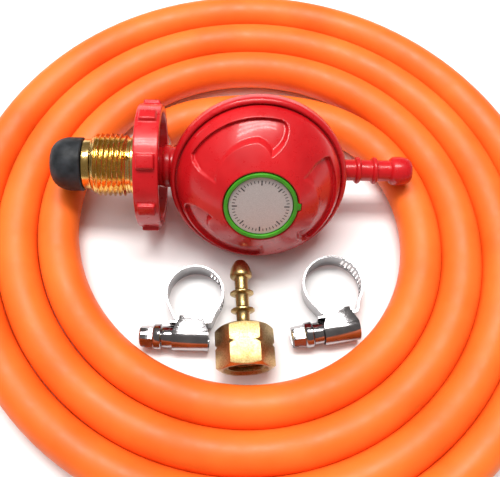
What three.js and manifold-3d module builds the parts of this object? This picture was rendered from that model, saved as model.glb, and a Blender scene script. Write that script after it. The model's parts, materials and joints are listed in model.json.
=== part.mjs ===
// Propane regulator hose kit, laid out loose: a coiled gas hose with a hand-wheel regulator, two worm-drive
// hose clips and a hexagon hose nozzle lying inside the coil. Millimetres, +Z up.
// The origin is on the floor, below the middle of the box around everything but the hose.
import * as THREE from "three";
import { mergeVertices } from "three/addons/utils/BufferGeometryUtils.js";
import Module from "manifold-3d";

const wasm = await Module();
wasm.setup();

// ---- Driving dimensions ---------------------------------------------------------------------------------

const gap = 0.3; // clearance between pieces that touch, seat or slide on each other

// The hose is wound clockwise from its inner end, seen from above, in one flat layer.
const hose = {
  diameter: 15,
  length: 2000,
  roomBeyondRim: 19.9, // the coil leaves this much more than the regulator's rim radius
  startAngle: 131,
  tuckStart: 3.5, // how far the inner end itself is pushed in
  tuck: 7.3, // how far the hose is pushed in at most
  tuckDeepest: 0.1, // turns to where it is pushed in most
  tuckFaded: 0.28, // turns after which it is back on the spiral
  drift: [0.7, -1.2], // how far the inner turns lie off the outer turns' middle
  driftFaded: 3.2, // turns over which that fades
  outOfRound: 1.1,
  longAxis: -33,
  flat: 0.4, // straight part of the coil's rounded edge
};

// Regulator. Its own X is the gas line, from inlet to outlet, and its own Z is the diaphragm's axis.
// Lengths along the gas line that are outside the body start at its rim.
const body = {
  rimRadius: 31.6,
  rimLow: 7.7, // heights are from the gas line
  rimTop: 12.6,
  lipWidth: 2,
  wall: 2.3,
  ledge: 8.4, // the diaphragm's seat
  ledgeWidth: 3.5,
  bottom: -13,
  bottomRadius: 15.5,
  waistDrop: 5.7, // from the rim in to the waist
  neckRadius: 7.2,
  neckLength: 6.6,
  neckRing: 0.6,
  seatBoss: -19,
  seatBossRadius: 5.5,
  passage: 3.3,
};
const barb = {
  radius: 3.95,
  ribRadius: 5.05,
  ballRadius: 5.35,
  faceRadius: 3.5, // the flat ring left round the bore at the tip
  ribs: [5.9, 12.2],
  ribWidth: 2.1,
  ballStart: 18,
  length: 26.2,
  bore: 2.4,
  bossRadius: 6.2,
  bossDepth: 2,
};
const cover = {
  flange: 1.2,
  height: 29.1, // top of the dome above the gas line
  wall: 3,
  recessDepth: 1.7,
  recesses: 3,
  towerWall: 2.4,
  towerLow: 19,
};
const diaphragm = { thickness: 0.8, rollDrop: 6.1, rollWidth: 6, rollDepth: 1.6, plateDrop: 14.6 };
const stem = { radius: 2.5, neck: 1.1, low: -5.1, hookGap: 2.2, disc: 0.9, flange: 6, flangeThick: 1 };
const plate = { thickness: 1, lip: 1.4 };
const retainer = { radius: 4.5, thickness: 1.2 };
const spring = { radius: 8, wire: 0.75, turns: 5, sides: 6 };
const plug = { radius: 9.5, thickness: 3.6, socket: 3, vent: 1.5 };
const cap = { radius: 12.4, recess: 2.2, rim: 1.3, proud: 0.5, floor: 1, tabWidth: 2.4, tabLength: 1.1 };
const label = { thickness: 0.4 };
const lever = { pivotX: -11, pivotZ: -5.5, width: 4, thick: 1.2, barrel: 2.2, pinRadius: 0.9, slot: 2.8 };
const leverPost = { thick: 2.4, width: 4.4 };
const valve = { seatFace: -18, lift: 0.9, pad: 1.5, padRadius: 2.6, stem: 3.5, back: -11.9, jet: 1.1 };

const spindle = {
  radius: 5.5,
  collarRadius: 9.2,
  collarWidth: 2.8,
  noseRadius: 5,
  noseLength: 6.5,
  bore: 2.2,
  end: -27,
  groove: 1.1,
  grooveWidth: 1.6,
  grooveInset: 4.7, // from the end of the neck
};
const nose = { radius: 9.75, length: 11.7 };
const nut = {
  threadRadius: 11.45, // G 5/8, left hand
  rootRadius: 10.3,
  threadPitch: 1.814,
  crests: 7,
  collarRadius: 11,
  shankFlats: 17,
  length: 21.6,
  play: 0.4, // from the end of the neck
  weep: 0.95,
  weepAngle: 40,
};
const wheel = {
  radius: 22.4,
  lugRadius: 24,
  lugs: 8,
  lugWidth: 5,
  lugLength: 6,
  width: 8.6,
  hubLength: 4.7,
  web: 2.5,
  rim: 2.8,
  hub: 12.5,
  seatRoom: 0.9, // round the nut's collar, in the shallow seat of the front face
  seatDepth: 0.6,
  turn: 29.5,
};

// Hose clips. Each ring stands on its edge face, with its screw across the near side.
const clip = {
  band: 8, // width of the band
  thick: 0.6,
  wall: 0.5,
  worm: 4,
  wormRoot: 3.1,
  wormPitch: 1.9,
  screwDrop: 5.2, // from the ring's flat side to the screw's axis
  housingLeft: -7.1,
  housingRight: 5.8,
  saddle: 5.6, // half the length of the saddle inside the ring
  neck: 2.6,
  neckWall: 1,
  neckLength: 3.7,
  collar: 4.6,
  collarLength: 2.8,
  headFlats: 7,
  headLength: 5,
  slot: 1.2,
  slotDepth: 2,
  slots: 11,
  slotPitch: 8.4, // degrees round the ring
  slotWidth: 0.9,
  slotLength: 4.6,
  slotStart: -28,
};
const clips = [
  { name: "clip_1", ring: 21.2, turn: 0, place: [-0.36, -0.551] },
  { name: "clip_2", ring: 22.2, turn: 11.5, place: [0.621, -0.46] },
];

// Hexagon nozzle: lies on one flat, socket towards the near side.
const nozzle = {
  flats: 18,
  hexLength: 15.3,
  chamfer: 1.3,
  notch: 0.8,
  notchAt: 8.2,
  socket: 6.9,
  mouth: 7.8,
  socketDepth: 11.5,
  bore: 1.4,
  tail: 2.4,
  ribs: [21.5, 28],
  ribRadius: 4.3,
  ribWidth: 1.7,
  bulb: 4.05,
  bulbStart: 33.6,
  length: 40.5,
  turn: 4.7,
  place: [0.018, -1.095],
};

// Where each piece lies, from the coil's middle, is a share of the free radius inside the coil.
const regulatorPlace = { place: [0.06, 0.313], turn: 1.6 };
const coilRoom = body.rimRadius + hose.roomBeyondRim;

// ---- Shape helpers --------------------------------------------------------------------------------------

const radians = THREE.MathUtils.degToRad;
const fullTurn = 2 * Math.PI;

function solidOf(geometry) {
  const bare = geometry.index ? geometry.toNonIndexed() : geometry.clone();
  bare.deleteAttribute("normal");
  bare.deleteAttribute("uv");
  const merged = mergeVertices(bare, 1e-4);
  const vertProperties = merged.attributes.position.array;
  const triVerts = new Uint32Array(merged.index.array);
  return new wasm.Manifold(new wasm.Mesh({ numProp: 3, vertProperties, triVerts }));
}

function geometryOf(solid) {
  const { vertProperties, triVerts } = solid.getMesh();
  const geometry = new THREE.BufferGeometry();
  geometry.setAttribute("position", new THREE.BufferAttribute(vertProperties, 3));
  geometry.setIndex(new THREE.BufferAttribute(triVerts, 1));
  return geometry;
}

function join(first, ...others) {
  const solid = others.reduce((sum, geometry) => sum.add(solidOf(geometry)), solidOf(first));
  return geometryOf(solid);
}

function cut(first, ...others) {
  const solid = others.reduce((rest, geometry) => rest.subtract(solidOf(geometry)), solidOf(first));
  return geometryOf(solid);
}

function common(first, second) {
  return geometryOf(solidOf(first).intersect(solidOf(second)));
}

// A solid turned about Z from [radius, height] points, with its outer wall going up.
function turnedZ(profile, sides = 32) {
  const points = profile.map(([radius, height]) => new THREE.Vector2(radius, height));
  if (points[0].x > 0) points.push(points[0].clone());
  return new THREE.LatheGeometry(points, sides).rotateX(Math.PI / 2);
}

// The same about X, from [radius, x] points.
function turnedX(profile, sides = 24) {
  return turnedZ(profile, sides).rotateY(Math.PI / 2);
}

function rodX(radius, from, to, sides = 24) {
  return turnedX([[0, from], [radius, from], [radius, to], [0, to]], sides);
}

function rodZ(radius, from, to, sides = 24) {
  return turnedZ([[0, from], [radius, from], [radius, to], [0, to]], sides);
}

function rodY(radius, from, to, sides = 16) {
  return rodZ(radius, from, to, sides).rotateX(-Math.PI / 2);
}

// A box from its lowest and highest corners.
function block([x0, y0, z0], [x1, y1, z1]) {
  const box = new THREE.BoxGeometry(x1 - x0, y1 - y0, z1 - z0);
  return box.translate((x0 + x1) / 2, (y0 + y1) / 2, (z0 + z1) / 2);
}

// A hexagonal bar along X, with a flat facing up.
function hexX(flats, from, to) {
  return rodX(flats / Math.sqrt(3), from, to, 6);
}

function extruded(shape, depth, curveSegments = 12) {
  return new THREE.ExtrudeGeometry(shape, { depth, bevelEnabled: false, curveSegments });
}

function lay(object, [x, y], height) {
  object.position.set(x * coilRoom, y * coilRoom, height);
}

function polar(radius, angle) {
  return new THREE.Vector2(radius * Math.cos(angle), radius * Math.sin(angle));
}

// A strip of even thickness that follows a line of points in the XY plane.
function strip(line, thickness, height) {
  const sides = [[], []];
  line.forEach((point, i) => {
    const before = line[Math.max(i - 1, 0)];
    const after = line[Math.min(i + 1, line.length - 1)];
    const along = after.clone().sub(before).normalize();
    const across = new THREE.Vector2(-along.y, along.x).multiplyScalar(thickness / 2);
    sides[0].push(point.clone().add(across));
    sides[1].unshift(point.clone().sub(across));
  });
  return extruded(new THREE.Shape([...sides[0], ...sides[1]]), height);
}

// Points of a V thread drawn as rings, from one height up to another.
function ringThread(root, crest, pitch, count, from) {
  const points = [];
  for (let i = 0; i < count; i += 1) {
    points.push([root, from + i * pitch]);
    points.push([crest, from + (i + 0.5) * pitch]);
  }
  points.push([root, from + count * pitch]);
  return points;
}

const finishes = {
  orange: { color: 0xf0742a, roughness: 0.45, metalness: 0 },
  red: { color: 0xc81e2a, roughness: 0.3, metalness: 0.1 },
  brass: { color: 0xc8a04a, roughness: 0.25, metalness: 1 },
  black: { color: 0x22252a, roughness: 0.7, metalness: 0 },
  steel: { color: 0xb8bcc0, roughness: 0.25, metalness: 1 },
  green: { color: 0x3c961e, roughness: 0.4, metalness: 0 },
  silver: { color: 0xc8c4c4, roughness: 0.35, metalness: 0.6 },
};
const materials = {};
for (const [name, look] of Object.entries(finishes)) materials[name] = new THREE.MeshStandardMaterial(look);

function piece(name, geometry, finish) {
  const mesh = new THREE.Mesh(geometry, materials[finish]);
  mesh.name = name;
  return mesh;
}

// ---- Hose -----------------------------------------------------------------------------------------------

// How far the hose's middle is from the coil's middle, after a number of turns from the inner end.
function coilRadius(turns) {
  const spiral = coilRoom + hose.diameter / 2 + (hose.diameter + gap) * turns;
  const { smoothstep, lerp } = THREE.MathUtils;
  const deepest = lerp(hose.tuckStart, hose.tuck, smoothstep(turns, 0, hose.tuckDeepest));
  const tuck = deepest * (1 - smoothstep(turns, hose.tuckDeepest, hose.tuckFaded));
  const angle = coilAngle(turns);
  const ovality = hose.outOfRound * Math.cos(2 * (angle - radians(hose.longAxis)));
  return spiral - tuck + ovality;
}

function coilAngle(turns) {
  return radians(hose.startAngle) - turns * fullTurn;
}

function coilPoint(turns) {
  const share = Math.max(1 - turns / hose.driftFaded, 0);
  const drift = new THREE.Vector2(...hose.drift).multiplyScalar(share);
  return polar(coilRadius(turns), coilAngle(turns)).add(drift);
}

// Steps along the spiral until the hose's whole length is wound.
function coilTurns() {
  const step = 1 / 360;
  let turns = 0;
  let wound = 0;
  while (wound < hose.length) {
    wound += coilPoint(turns).distanceTo(coilPoint(turns + step));
    turns += step;
  }
  return turns;
}

// The whole coil's outer shape: a flat band between the first turn and the last, with the hose's round edge
// on both sides. The band is set back from both cut ends by the radius that its round edge adds.
function hoseCoil() {
  const radius = hose.diameter / 2;
  const steps = 48;
  const first = radius / (fullTurn * coilRadius(0));
  const last = coilTurns() - radius / (fullTurn * coilRadius(coilTurns()));
  const turnFrom = (start) => Array.from({ length: steps + 1 }, (_, i) => coilPoint(start + i / steps));
  const outline = new THREE.Shape(turnFrom(last - 1));
  outline.holes.push(new THREE.Path(turnFrom(first).reverse()));
  const bevelThickness = radius - hose.flat / 2;
  const options = { depth: hose.flat, bevelThickness, bevelSize: radius, bevelSegments: 3 };
  const band = new THREE.ExtrudeGeometry(outline, options);
  return piece("hose_coil", band.translate(0, 0, bevelThickness), "orange");
}

// ---- Regulator ------------------------------------------------------------------------------------------

// Places along the gas line.
const neckEnd = -body.rimRadius - body.neckLength;
const nutBack = neckEnd - nut.play;
const nutFront = nutBack - nut.length;
const wheelFront = nutBack - wheel.hubLength;
const grooveAt = neckEnd + spindle.grooveInset;
const bossEnd = body.rimRadius - barb.bossDepth;
const ballStart = body.rimRadius + barb.ballStart;
const barbEnd = body.rimRadius + barb.length;

// Distances from the diaphragm's axis, and heights along it.
const waistRadius = body.rimRadius - body.waistDrop;
const rollOut = body.rimRadius - diaphragm.rollDrop;
const rollIn = rollOut - diaphragm.rollWidth;
const plateRadius = body.rimRadius - diaphragm.plateDrop;
const stemHole = stem.radius + 0.5;
const diaphragmLow = body.ledge + gap;
const coverLow = diaphragmLow + diaphragm.thickness + gap;
const lipLow = coverLow + cover.flange + gap;
const lipRadius = body.rimRadius - body.lipWidth;
const crimpRadius = body.rimRadius - 0.9;
const flangeRadius = crimpRadius - gap;
const ledgeRadius = flangeRadius - body.ledgeWidth;
const domeRadius = lipRadius - gap - 0.2;
const cavityFloor = body.bottom + body.wall + 0.5;
const capRecess = cap.radius + gap;
const recessFloor = cover.height - cap.recess;
const plateLow = diaphragmLow + diaphragm.thickness + gap;
const springLow = plateLow + plate.thickness + gap;
const plugHigh = recessFloor - gap;
const springHigh = plugHigh - plug.thickness - gap;
const seatNose = 0.8;
const padFront = valve.seatFace + valve.lift;
const padBack = padFront + valve.pad;

// The lower body's outside, a bowl from its flat bottom up to the rim.
function bowlProfile() {
  return [
    [0, body.bottom],
    [body.bottomRadius, body.bottom],
    [body.bottomRadius + 2.9, body.bottom + 1.5],
    [waistRadius, -0.4],
    [body.rimRadius - 1.8, body.rimLow - 2.2],
    [body.rimRadius, body.rimLow],
    [body.rimRadius, body.rimTop - 1],
    [body.rimRadius - 0.35, body.rimTop - 0.3],
    [body.rimRadius - 1, body.rimTop],
    [lipRadius + 0.3, body.rimTop - 0.25],
    [lipRadius, body.rimTop - 0.8],
    [lipRadius, lipLow],
    [crimpRadius, lipLow],
    [crimpRadius, body.ledge],
    [0, body.ledge],
  ];
}

function cavityProfile() {
  return [
    [0, cavityFloor],
    [body.bottomRadius + 1, cavityFloor],
    [waistRadius - body.wall, 0],
    [ledgeRadius, body.ledge - 1.2],
    [ledgeRadius, body.ledge + 1],
    [0, body.ledge + 1],
  ];
}

function barbProfile() {
  const points = [[0, 0], [barb.bossRadius, 0], [barb.bossRadius, bossEnd], [barb.radius, bossEnd + 1]];
  for (const at of barb.ribs.map((rib) => body.rimRadius + rib)) {
    points.push([barb.radius, at - barb.ribWidth / 2]);
    points.push([barb.ribRadius, at - barb.ribWidth / 4]);
    points.push([barb.ribRadius, at + barb.ribWidth / 4]);
    points.push([barb.radius, at + barb.ribWidth / 2]);
  }
  const length = barbEnd - ballStart;
  points.push([barb.radius, ballStart]);
  points.push([barb.ballRadius - 0.4, ballStart + 0.7]);
  points.push([barb.ballRadius, ballStart + 0.35 * length]);
  points.push([barb.ballRadius - 0.3, ballStart + 0.65 * length]);
  points.push([barb.ballRadius - 1.2, barbEnd - 0.8]);
  points.push([barb.faceRadius, barbEnd]);
  points.push([0, barbEnd]);
  return points;
}

function neckProfile() {
  const end = neckEnd;
  const ring = body.neckRadius + body.neckRing;
  return [
    [0, end],
    [body.neckRadius - 0.5, end],
    [body.neckRadius, end + 0.5],
    [body.neckRadius, end + 3.6],
    [ring, end + 4.2],
    [ring, end + 5.8],
    [body.neckRadius, end + 6.4],
    [body.neckRadius, -waistRadius + body.wall],
    [0, -waistRadius + body.wall],
  ];
}

function lowerBody() {
  const shell = join(turnedZ(bowlProfile(), 40), turnedX(neckProfile()), turnedX(barbProfile(), 20));
  const hollow = cut(shell, turnedZ(cavityProfile(), 40));
  const inside = lever.width / 2 + 2 * gap;
  const posts = [-1, 1].map((side) => {
    const near = side * inside;
    const far = side * (inside + leverPost.thick);
    const low = [lever.pivotX - leverPost.width / 2, Math.min(near, far), cavityFloor - 0.5];
    const high = [lever.pivotX + leverPost.width / 2, Math.max(near, far), lever.pivotZ + lever.barrel];
    return block(low, high);
  });
  const seatBoss = rodX(body.seatBossRadius, -waistRadius, body.seatBoss);
  const pinHole = inside + leverPost.thick + 1;
  return piece(
    "lower_body",
    cut(
      join(hollow, seatBoss, ...posts),
      rodX(spindle.radius + gap, neckEnd - 1, spindle.end + gap),
      rodX(body.passage, spindle.end - 1, body.seatBoss + 1, 24),
      rodX(barb.bore, 10, barbEnd + 1, 20),
      rodY(lever.pinRadius + gap, -pinHole, pinHole).translate(lever.pivotX, 0, lever.pivotZ),
    ),
    "red",
  );
}

// Height of the dome's skin above the gas line, at a distance from its axis; drop moves it inwards.
function domePoints(drop) {
  const shoulder = body.rimTop + 0.4;
  const rise = cover.height - shoulder;
  const points = [];
  const steps = 6;
  for (let i = 0; i <= steps; i += 1) {
    const share = i / steps;
    const radius = domeRadius - (domeRadius - capRecess - 0.5) * share ** 1.45;
    points.push([radius - drop * (1 - share), shoulder + rise * share ** 0.83 - drop * share]);
  }
  return points;
}

// One crescent of the pinwheel on the dome: a long round-ended hollow with a hooked end wall.
function crescent(turn) {
  const at = (radius, angle) => polar(radius, radians(angle) + turn);
  const outer = domeRadius - 2.4;
  const inner = outer - 5.4;
  const shape = new THREE.Shape();
  const start = at(outer, 150);
  const hookTip = at(inner - 3.6, 80);
  const bend = at(outer + 0.6, 71);
  const hookBend = at(inner, 70);
  const innerStart = at(inner, 94);
  const innerBend = at(inner - 1, 84);
  const pinch = at(outer - 1.4, 165);
  shape.moveTo(start.x, start.y);
  shape.absarc(0, 0, outer, radians(150) + turn, radians(80) + turn, true);
  shape.quadraticCurveTo(bend.x, bend.y, at(outer - 3, 71).x, at(outer - 3, 71).y);
  shape.quadraticCurveTo(hookBend.x, hookBend.y, hookTip.x, hookTip.y);
  shape.quadraticCurveTo(innerBend.x, innerBend.y, innerStart.x, innerStart.y);
  shape.absarc(0, 0, inner, radians(94) + turn, radians(146) + turn, false);
  shape.lineTo(pinch.x, pinch.y);
  return extruded(shape, cover.height, 5);
}

function upperCover() {
  const inside = domePoints(cover.wall).filter(([radius]) => radius > plug.radius + gap + cover.towerWall);
  const tower = plug.radius + gap;
  const profile = [
    [ledgeRadius - 0.4, coverLow],
    [flangeRadius, coverLow],
    [flangeRadius, coverLow + cover.flange],
    [domeRadius, coverLow + cover.flange],
    ...domePoints(0),
    [capRecess, cover.height - 0.4],
    [capRecess, recessFloor],
    [tower, recessFloor],
    [tower, cover.towerLow],
    [tower + cover.towerWall, cover.towerLow],
    ...inside.reverse(),
  ];
  const skin = turnedZ(profile, 40);
  const floorProfile = [[0, 0], ...domePoints(cover.recessDepth), [0, cover.height - cover.recessDepth]];
  const floor = turnedZ(floorProfile, 40);
  const hollows = [];
  for (let i = 0; i < cover.recesses; i += 1) {
    hollows.push(cut(crescent((i * fullTurn) / cover.recesses), floor));
  }
  const tab = cap.tabWidth / 2 + gap;
  const reach = cap.radius + cap.tabLength + gap;
  const notch = block([cap.radius - 1, -tab, recessFloor], [reach, tab, cover.height + 1]);
  return piece("upper_cover", cut(skin, ...hollows, notch), "red");
}

function diaphragmSheet() {
  const low = diaphragmLow;
  const high = low + diaphragm.thickness;
  const roll = (rollOut - rollIn) / 4;
  const middle = (rollIn + rollOut) / 2;
  const dip = diaphragm.rollDepth;
  return piece(
    "diaphragm",
    turnedZ([
      [stemHole, low],
      [rollIn, low],
      [middle - roll, low - dip * 0.8],
      [middle, low - dip],
      [middle + roll, low - dip * 0.8],
      [rollOut, low],
      [flangeRadius, low],
      [flangeRadius, high],
      [rollOut - 0.5, high],
      [middle + roll * 0.7, high - dip * 0.8],
      [middle, high - dip],
      [middle - roll * 0.7, high - dip * 0.8],
      [rollIn + 0.5, high],
      [stemHole, high],
    ]),
    "black",
  );
}

// The stack that the diaphragm carries: stem, plate and retainer.
function diaphragmStack() {
  const flangeHigh = diaphragmLow - gap;
  const stemHigh = springLow + retainer.thickness + gap;
  const hookHigh = stem.low + 2 * stem.disc + stem.hookGap;
  const stemPiece = turnedZ(
    [
      [0, stem.low],
      [stem.radius, stem.low],
      [stem.radius, stem.low + stem.disc],
      [stem.neck, stem.low + stem.disc],
      [stem.neck, stem.low + stem.disc + stem.hookGap],
      [stem.radius, stem.low + stem.disc + stem.hookGap],
      [stem.radius, hookHigh],
      [stem.radius, flangeHigh - stem.flangeThick],
      [stem.flange, flangeHigh - stem.flangeThick],
      [stem.flange, flangeHigh],
      [stem.radius, flangeHigh],
      [stem.radius, stemHigh],
      [0, stemHigh],
    ],
    20,
  );
  const hole = stem.radius + gap;
  const plateHigh = plateLow + plate.thickness;
  const platePiece = turnedZ([
    [hole, plateLow],
    [plateRadius, plateLow],
    [plateRadius, plateHigh + plate.lip],
    [plateRadius - plate.thickness, plateHigh + plate.lip],
    [plateRadius - plate.thickness, plateHigh],
    [hole, plateHigh],
  ]);
  const ring = [[hole, springLow], [retainer.radius, springLow]];
  const ringTop = springLow + retainer.thickness;
  const ringHigh = [[retainer.radius, ringTop], [hole, ringTop]];
  return [
    piece("diaphragm_stem", stemPiece, "brass"),
    piece("diaphragm_plate", platePiece, "steel"),
    piece("stem_retainer", turnedZ([...ring, ...ringHigh], 24), "steel"),
  ];
}

// A helix about Z between two heights.
class Helix extends THREE.Curve {
  constructor(radius, low, high, turns) {
    super();
    Object.assign(this, { radius, low, high, turns });
  }
  getPoint(share, target = new THREE.Vector3()) {
    const angle = share * this.turns * fullTurn;
    const height = this.low + (this.high - this.low) * share;
    return target.set(this.radius * Math.cos(angle), this.radius * Math.sin(angle), height);
  }
}

function mainSpring() {
  const section = [];
  for (let i = 0; i < spring.sides; i += 1) section.push(polar(spring.wire, (i / spring.sides) * fullTurn));
  const path = new Helix(spring.radius, springLow + spring.wire, springHigh - spring.wire, spring.turns);
  const options = { steps: spring.turns * 12, extrudePath: path, bevelEnabled: false };
  return piece("main_spring", new THREE.ExtrudeGeometry(new THREE.Shape(section), options), "steel");
}

function adjusterPlug() {
  const low = plugHigh - plug.thickness;
  const disc = rodZ(plug.radius, low, plugHigh, 28);
  const socket = rodZ(plug.socket, plugHigh - 2.2, plugHigh + 1, 6);
  return piece("adjuster_plug", cut(disc, socket, rodZ(plug.vent, low - 1, plugHigh + 1, 16)), "brass");
}

function labelCap() {
  const low = recessFloor + gap;
  const high = cover.height + cap.proud;
  const ring = cap.radius - cap.rim;
  const cup = turnedZ([
    [0, low],
    [cap.radius, low],
    [cap.radius, high - 0.3],
    [cap.radius - 0.3, high],
    [ring, high],
    [ring, low + cap.floor],
    [0, low + cap.floor],
  ]);
  const tab = block(
    [cap.radius - 0.8, -cap.tabWidth / 2, low],
    [cap.radius + cap.tabLength, cap.tabWidth / 2, high - 0.5],
  );
  return piece("label_cap", join(cup, tab), "green");
}

function labelDisc() {
  const low = recessFloor + cap.floor + 2 * gap;
  const radius = cap.radius - cap.rim - gap;
  return piece("label_disc", rodZ(radius, low, low + label.thickness, 32), "silver");
}

function valveSeat() {
  const outer = body.passage - gap;
  const flange = body.seatBoss + gap;
  return piece(
    "valve_seat",
    turnedX(
      [
        [valve.jet, body.seatBoss - 5],
        [outer, body.seatBoss - 5],
        [outer, flange],
        [body.seatBossRadius - 1, flange],
        [body.seatBossRadius - 1, valve.seatFace - seatNose + 0.5],
        [valve.jet + 1.2, valve.seatFace - seatNose + 0.5],
        [valve.jet + 0.5, valve.seatFace],
        [valve.jet, valve.seatFace],
      ],
      24,
    ),
    "brass",
  );
}

function valvePieces() {
  const pocket = padBack - 0.9;
  const holder = turnedX(
    [
      [0, padBack + gap],
      [valve.padRadius + gap, padBack + gap],
      [valve.padRadius + gap, pocket],
      [valve.stem, pocket],
      [valve.stem, valve.back],
      [0, valve.back],
    ],
    24,
  );
  return [
    piece("valve_pad", rodX(valve.padRadius, padFront, padBack, 24), "black"),
    piece("valve_plunger", holder, "brass"),
  ];
}

// Bell crank: the short arm pushes the plunger, and the long arm's fork sits in the stem's neck.
function leverPieces() {
  const half = lever.width / 2;
  const forkLow = stem.low + stem.disc + (stem.hookGap - lever.thick) / 2;
  const armX = valve.back + gap;
  const barrel = rodY(lever.barrel, -half, half).translate(lever.pivotX, 0, lever.pivotZ);
  const shortArm = block([armX, -half, lever.pivotZ], [armX + lever.thick, half, 1.6]);
  const longArm = block([lever.pivotX, -half, forkLow], [stem.radius + 0.3, half, forkLow + lever.thick]);
  const fork = block([-stem.neck - gap, -lever.slot / 2, forkLow - 1], [4, lever.slot / 2, forkLow + 3]);
  const hole = rodY(lever.pinRadius + gap, -half - 1, half + 1).translate(lever.pivotX, 0, lever.pivotZ);
  const crank = cut(join(barrel, shortArm, longArm), fork, hole);
  const pinHalf = half + 2 * gap + leverPost.thick;
  const pin = rodY(lever.pinRadius, -pinHalf, pinHalf).translate(lever.pivotX, 0, lever.pivotZ);
  return [piece("lever", crank, "steel"), piece("lever_pin", pin, "steel")];
}

const collarBack = nutFront - gap;
const collarFront = collarBack - spindle.collarWidth;

function inletSpindle() {
  const stub = collarFront - spindle.noseLength;
  const groove = spindle.radius - spindle.groove;
  return piece(
    "inlet_spindle",
    turnedX([
      [spindle.bore + 1.2, stub],
      [spindle.noseRadius, stub],
      [spindle.noseRadius, collarFront],
      [spindle.collarRadius - 0.3, collarFront],
      [spindle.collarRadius, collarFront + 0.3],
      [spindle.collarRadius, collarBack - 0.3],
      [spindle.collarRadius - 0.3, collarBack],
      [spindle.radius, collarBack],
      [spindle.radius, grooveAt - spindle.grooveWidth / 2],
      [groove, grooveAt - spindle.grooveWidth / 2],
      [groove, grooveAt + spindle.grooveWidth / 2],
      [spindle.radius, grooveAt + spindle.grooveWidth / 2],
      [spindle.radius, spindle.end],
      [spindle.bore, spindle.end],
      [spindle.bore, stub + 3],
      [spindle.bore + 1.2, stub + 3],
    ]),
    "brass",
  );
}

// Filter disc in the mouth of the spindle, and the ring that seals the spindle in the neck.
function spindleFittings() {
  const stub = collarFront - spindle.noseLength;
  const filter = rodX(spindle.bore + 1.2 - gap, stub + 0.6, stub + 3 - gap, 24);
  const low = spindle.radius - spindle.groove + gap;
  const high = spindle.radius;
  const from = grooveAt - spindle.grooveWidth / 2 + gap;
  const to = grooveAt + spindle.grooveWidth / 2 - gap;
  const ring = turnedX([[low, from], [high, from], [high, to], [low, to]], 24);
  return [piece("inlet_filter", filter, "steel"), piece("spindle_oring", ring, "black")];
}

// Soft nose that seals in the gas bottle's valve, bored through for the gas.
function noseSeal() {
  const back = collarFront - gap;
  const tip = back - nose.length;
  const inner = spindle.noseRadius + gap;
  const seat = back - spindle.noseLength - gap;
  const points = [[spindle.bore, seat], [spindle.bore, tip + 0.4], [spindle.bore + 0.5, tip]];
  const steps = 6;
  for (let i = 1; i <= steps; i += 1) {
    const share = i / steps;
    const swell = Math.sin((share * Math.PI) / 2) ** 0.85;
    const radius = spindle.bore + 1 + (nose.radius - spindle.bore - 1) * swell;
    points.push([radius, tip + 0.2 + nose.length * 0.62 * (1 - Math.cos((share * Math.PI) / 2))]);
  }
  points.push([nose.radius, back], [inner, back], [inner, seat]);
  return piece("nose_seal", turnedX(points), "black");
}

function polNut() {
  const threadEnd = nutFront + 0.6 + nut.crests * nut.threadPitch;
  const bore = spindle.radius + gap + 0.1;
  const shankStart = wheelFront + wheel.seatDepth - gap;
  const turnedPart = turnedX(
    [
      [bore, nutFront],
      [nut.rootRadius, nutFront],
      ...ringThread(nut.rootRadius, nut.threadRadius, nut.threadPitch, nut.crests, nutFront + 0.6),
      [nut.rootRadius - 0.3, threadEnd + 0.3],
      [nut.rootRadius - 0.3, threadEnd + 1],
      [nut.collarRadius, threadEnd + 1.2],
      [nut.collarRadius, shankStart],
      [bore, shankStart],
    ],
    28,
  );
  const shank = cut(hexX(nut.shankFlats, shankStart - 0.5, nutBack), rodX(bore, shankStart - 1, nutBack + 1));
  const weep = rodZ(nut.weep, bore - 1, nut.threadRadius + 1, 16);
  weep.rotateX(-radians(nut.weepAngle)).translate(threadEnd + 0.2, 0, 0);
  return piece("pol_nut", cut(join(turnedPart, shank), weep), "brass");
}

function handwheel() {
  const back = wheelFront + wheel.width;
  const rimInside = wheel.radius - wheel.rim;
  const dish = turnedX(
    [
      [0, wheelFront],
      [wheel.radius - 0.8, wheelFront],
      [wheel.radius, wheelFront + 0.8],
      [wheel.radius, back - 0.5],
      [wheel.radius - 0.5, back],
      [rimInside, back],
      [rimInside, wheelFront + wheel.web],
      [wheel.hub, wheelFront + wheel.web],
      [wheel.hub, nutBack],
      [0, nutBack],
    ],
    40,
  );
  const lugStart = wheelFront + (wheel.width - wheel.lugLength) / 2;
  const lugs = [];
  for (let i = 0; i < wheel.lugs; i += 1) {
    const lug = block(
      [lugStart, -wheel.lugWidth / 2, wheel.radius - 1.2],
      [lugStart + wheel.lugLength, wheel.lugWidth / 2, wheel.lugRadius],
    );
    lugs.push(lug.rotateX(-radians(wheel.turn) - (i * fullTurn) / wheel.lugs));
  }
  const socket = hexX(nut.shankFlats + 2 * gap, wheelFront - 1, nutBack + 1);
  const seat = rodX(nut.collarRadius + wheel.seatRoom, wheelFront - 1, wheelFront + wheel.seatDepth);
  return piece("handwheel", cut(join(dish, ...lugs), socket, seat), "red");
}

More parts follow.
